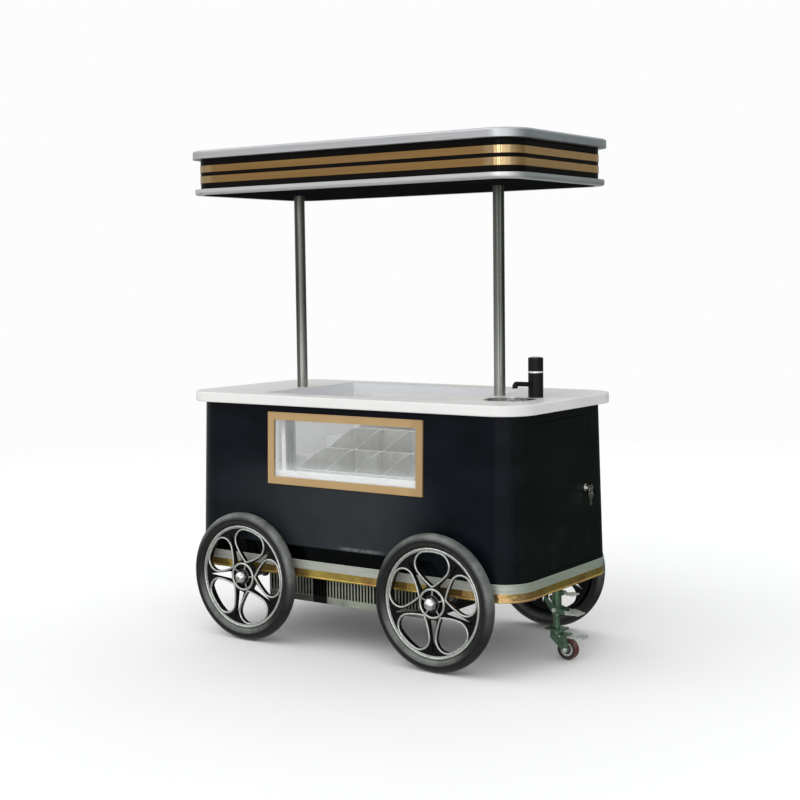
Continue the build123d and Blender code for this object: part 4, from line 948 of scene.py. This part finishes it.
# %% Turned tyres with grooves and side rings
tyre_middle, tyre_half_height, tyre_half_width, tyre_soft = 0.232, 0.026, 0.023, 0.9
tread_from, wall_from = 0.25, 0.012
groove_place, groove_depth, groove_width = 0.0065, 0.0014, 0.0012
rib_width = 0.0016
ribs = ((0.219, 0.0012), (0.2235, -0.0009), (0.243, 0.0009))


def tyre_section(count=220):
    """Radius and depth round the section: a soft box (powers of cos and sin) with narrow dips and ribs.

    Each dip or rib is a bell curve, exp of minus the squared distance over its width."""
    angle = np.linspace(0, 2 * np.pi, count, endpoint=False)
    upward, outward = np.cos(angle), np.sin(angle)
    radius = tyre_middle + tyre_half_height * np.sign(upward) * np.abs(upward) ** tyre_soft
    depth = tyre_half_width * np.sign(outward) * np.abs(outward) ** tyre_soft
    tread = radius > tread_from
    for groove in (-groove_place, groove_place):
        radius = radius - tread * groove_depth * np.exp(-(((depth - groove) / groove_width) ** 2))
    wall = np.abs(depth) > wall_from
    for ring, lift in ribs:
        depth = depth + wall * np.sign(depth) * lift * np.exp(-(((radius - ring) / rib_width) ** 2))
    return radius, depth


section_radius, section_depth = tyre_section()
turns = np.linspace(0, 2 * np.pi, 144, endpoint=False)[:, None]
for corner_name, (end, side, _) in wheel_corners.items():
    grid = np.stack([
        end * wheel_x + side * section_radius * np.cos(turns),
        side * (wheel_y + section_depth) + 0 * turns,
        wheel_z + section_radius * np.sin(turns),
    ], -1)
    tyre = surface(f"{corner_name}_ribbed_tyre", [grid], rubber, f"{corner_name}_wheel")
    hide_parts(f"{corner_name}_tyre")

# %% [markdown]
# ## Bright rims of the bins
# Clear sheet is nearly invisible except at its cut edges, which look bright. Each bin's rim is a
# rounded rectangle seen from above, lifted to the divider's side profile: a low front, a straight
# slope, and an arc that levels out at the back. A thin bead along it, painted pale as a highlight,
# catches the light.

# %% Bin rims
row_depth, bin_front, slope_run, slope_rise, crest_rise = 0.197, 0.04, 0.12, 0.05, 0.015


def divider_height(back):
    """Height of a divider's top at a distance back from the row's front.

    Up to the knee it is a line. After it the top follows a circle that starts along that line and
    ends at the back corner. Its radius is the squared chord over twice the chord's part along the
    normal."""
    slope = np.array([slope_run, slope_rise]) / np.hypot(slope_run, slope_rise)
    normal = np.array([slope[1], -slope[0]])
    chord = np.array([row_depth - slope_run, crest_rise])
    radius = chord @ chord / (2 * normal @ chord)
    middle = np.array([slope_run, bin_front + slope_rise]) + radius * normal
    line = bin_front + slope_rise * back / slope_run
    over = middle[1] + np.sqrt(np.maximum(radius**2 - (back - middle[0]) ** 2, 0))
    return np.where(back < slope_run, line, over)


edge_light = Finish("bin_rim", IOR=1.49, Coat_Weight=0.3)
glint = edge_light.noise(50, 3)
# The pale colour of the rim beads is a painted highlight of the clear edges
edge_light.paint(
    Base_Color=edge_light.blend(glint, (0.66, 0.66, 0.64), (0.88, 0.88, 0.86)),
    Roughness=0.12 + 0.2 * glint,
)
edge_light.bump(glint, 0.03)

bin_count, bin_pitch, bins_middle, bin_corner, half_wall = 4, 0.14, 0.006, 0.006, 0.0015
row_first, row_pitch, row_floor, row_step = -0.304, 0.199, 0.65, 0.063
bin_bead = (0.0013, 0.0015, 8)
for row, row_name in enumerate(("front", "middle", "rear")):
    plan = rounded_loop(bin_pitch / 2, row_depth / 2 - half_wall, bin_corner, 150)
    rim_height = divider_height(plan[:, 1] + row_depth / 2)
    grids = []
    for place in range(bin_count):
        rim = np.stack([
            bins_middle + bin_pitch * (place - (bin_count - 1) / 2) + plan[:, 0],
            row_first + row_pitch * row + row_depth / 2 + plan[:, 1],
            row_floor + row_step * row + rim_height,
        ], 1)
        grids.append(bead(rim, (0, 0, 1), *bin_bead))
    surface(f"{row_name}_bin_rims", grids, edge_light, f"{row_name}_bins")

# %% [markdown]
# ## Beads on the trim and the sink
# The silver band has a rolled top edge and the gold band a rolled lip below, which is why both end
# in a bright line. The sink's rim is rolled as well, and its strainer is a set of rings. All of them
# are beads on a plan outline.

# %% Rolled edges
half_length, half_width, plan_corner = 0.8, 0.4, 0.144


def plan_bead(inset, height, wide, high):
    """A bead round the cart's rounded plan, drawn in from the counter's edge."""
    loop = rounded_loop(half_length - inset, half_width - inset, plan_corner - inset, 320)
    return bead(np.column_stack([loop, np.full(len(loop), height)]), (0, 0, 1), wide, high)


band_edge = plan_bead(inset=0.0185, height=0.3415, wide=0.0022, high=0.0024)
surface("silver_band_edge", [band_edge], strip, "cart")
band_lip = plan_bead(inset=0.0188, height=0.2795, wide=0.0032, high=0.0038)
surface("gold_band_lip", [band_lip], foil, "cart")

# %% Sink rim and strainer
sink_middle = np.array([sink_x, sink_y])
sink_rim, sink_rim_height = 0.0965, 0.9903
strainer_rings = ((0.0205, 0.8995), (0.015, 0.9), (0.0095, 0.9004), (0.004, 0.9006))


def level_ring(radius, height, count):
    """A circle about the sink's middle, at one height."""
    return np.column_stack([sink_middle + circle(radius, count), np.full(count, height)])


rolled_rim = bead(level_ring(sink_rim, sink_rim_height, 160), (0, 0, 1), 0.0026, 0.0022)
strainer = [bead(level_ring(*ring, 48), (0, 0, 1), 0.0022, 0.0014, 8) for ring in strainer_rings]
surface("sink_rim_and_strainer", [rolled_rim] + strainer, bowl_steel, "cart")

# %% [markdown]
# ## Floor and light
# The photograph was taken under a bright sky, and shows the cart on plain white. Lamps that fade
# with distance would draw a horizon, so broad suns light the floor evenly. The sky that metal
# mirrors is bright above and dim at the horizon, and dimmest and a little green behind the right
# end, which leaves that end in half shade. Below the horizon it is dark, and lighter straight down.
# The camera itself sees plain white instead of that sky, and the floor fades into it. The floor is
# hidden from reflections, so that upright gloss mirrors the dim tones and not an endless white floor.

# %% Floor
floor_mesh = bpy.data.meshes.new("floor")
reach, fade_start, fade_stop = 8.0, 4.0, 7.5
corners = np.array([[-reach, -reach, 0], [reach, -reach, 0], [reach, reach, 0], [-reach, reach, 0]])
floor_mesh.from_pydata(corners.tolist(), [], [[0, 1, 2, 3]])
floor_finish = Finish("floor")
mottle = floor_finish.noise(1.5, 3)
along, across, _ = floor_finish.axes()
from_middle = (along**2 + across**2) ** 0.5
floor_finish.paint(
    Base_Color=floor_finish.blend(mottle, (0.9, 0.9, 0.9), (0.92, 0.92, 0.92)),
    Roughness=0.8 + 0.1 * mottle,
    Alpha=1 - from_middle.step(fade_start, fade_stop),
)
floor_mesh.materials.append(floor_finish.material)
floor = bpy.data.objects.new("floor", floor_mesh)
bpy.context.scene.collection.objects.link(floor)
floor.visible_glossy = False
print("floor reaches", reach, "m each way")

# %% Sky
scene = bpy.context.scene
scene.view_settings.view_transform = "Standard"
world = bpy.data.worlds.new("studio")
world.use_nodes = True
scene.world = world
sky = Graph(world.node_tree)
rightward, backward, upward = sky.axes("Generated")
shade_along, shade_back = 0.574, 0.819
behind_right = shade_along * rightward + shade_back * backward
lit_sky = world.node_tree.nodes["Background"]
horizon = sky.blend(behind_right.step(0.5, 0.95), (0.55, 0.57, 0.55), (0.095, 0.14, 0.125))
above = sky.blend(upward.step(0.02, 0.55), horizon, (1.02, 1.03, 1.03))
ground = sky.blend(upward.step(-0.52, -0.3), (0.46, 0.47, 0.44), (0.1, 0.115, 0.085))
sky.fill(lit_sky.inputs["Color"], sky.blend(upward.step(-0.35, -0.08), ground, above))
sky.fill(lit_sky.inputs["Strength"], 1.05 - 0.5 * behind_right.step(-0.2, 0.9))
backdrop = sky.node("ShaderNodeBackground", None, {"Color": (1, 1, 1), "Strength": 0.98})
seen = sky.node("ShaderNodeLightPath").outputs["Is Camera Ray"]
chosen = sky.node("ShaderNodeMixShader", None, {0: seen, 1: lit_sky.outputs[0], 2: backdrop.outputs[0]})
sky.fill(world.node_tree.nodes["World Output"].inputs["Surface"], chosen.outputs[0])
print("sky nodes:", len(world.node_tree.nodes))


# %% Suns
def sun(name, toward, strength, spread):
    """A broad far light that shines from a direction, as wide as spread in degrees."""
    light = bpy.data.lights.new(name, "SUN")
    light.energy = strength
    light.angle = np.radians(spread)
    holder = bpy.data.objects.new(name, light)
    away = np.array(toward, float) / np.linalg.norm(toward)
    side = np.cross((0, 0, 1), away)
    side /= np.linalg.norm(side)
    pose = np.eye(4)
    pose[:3, 0] = side
    pose[:3, 1] = np.cross(away, side)
    pose[:3, 2] = away
    holder.matrix_world = Matrix(pose.tolist())
    scene.collection.objects.link(holder)


sun("key", (-0.5, -0.8, 1.0), 0.5, 60)
sun("front", (-0.5, -0.85, 0.25), 0.06, 50)
sun("broad", (0.82, -0.57, 0.15), 0.2, 40)
sun("glow", (0.38, -0.92, 0.12), 0.67, 56)
sun("glint", (0.2, -0.97, 0.1), 0.13, 10)
sun("rear", (0.2, 0.9, 0.8), 0.5, 80)
print("suns:", [light.name for light in bpy.data.lights])
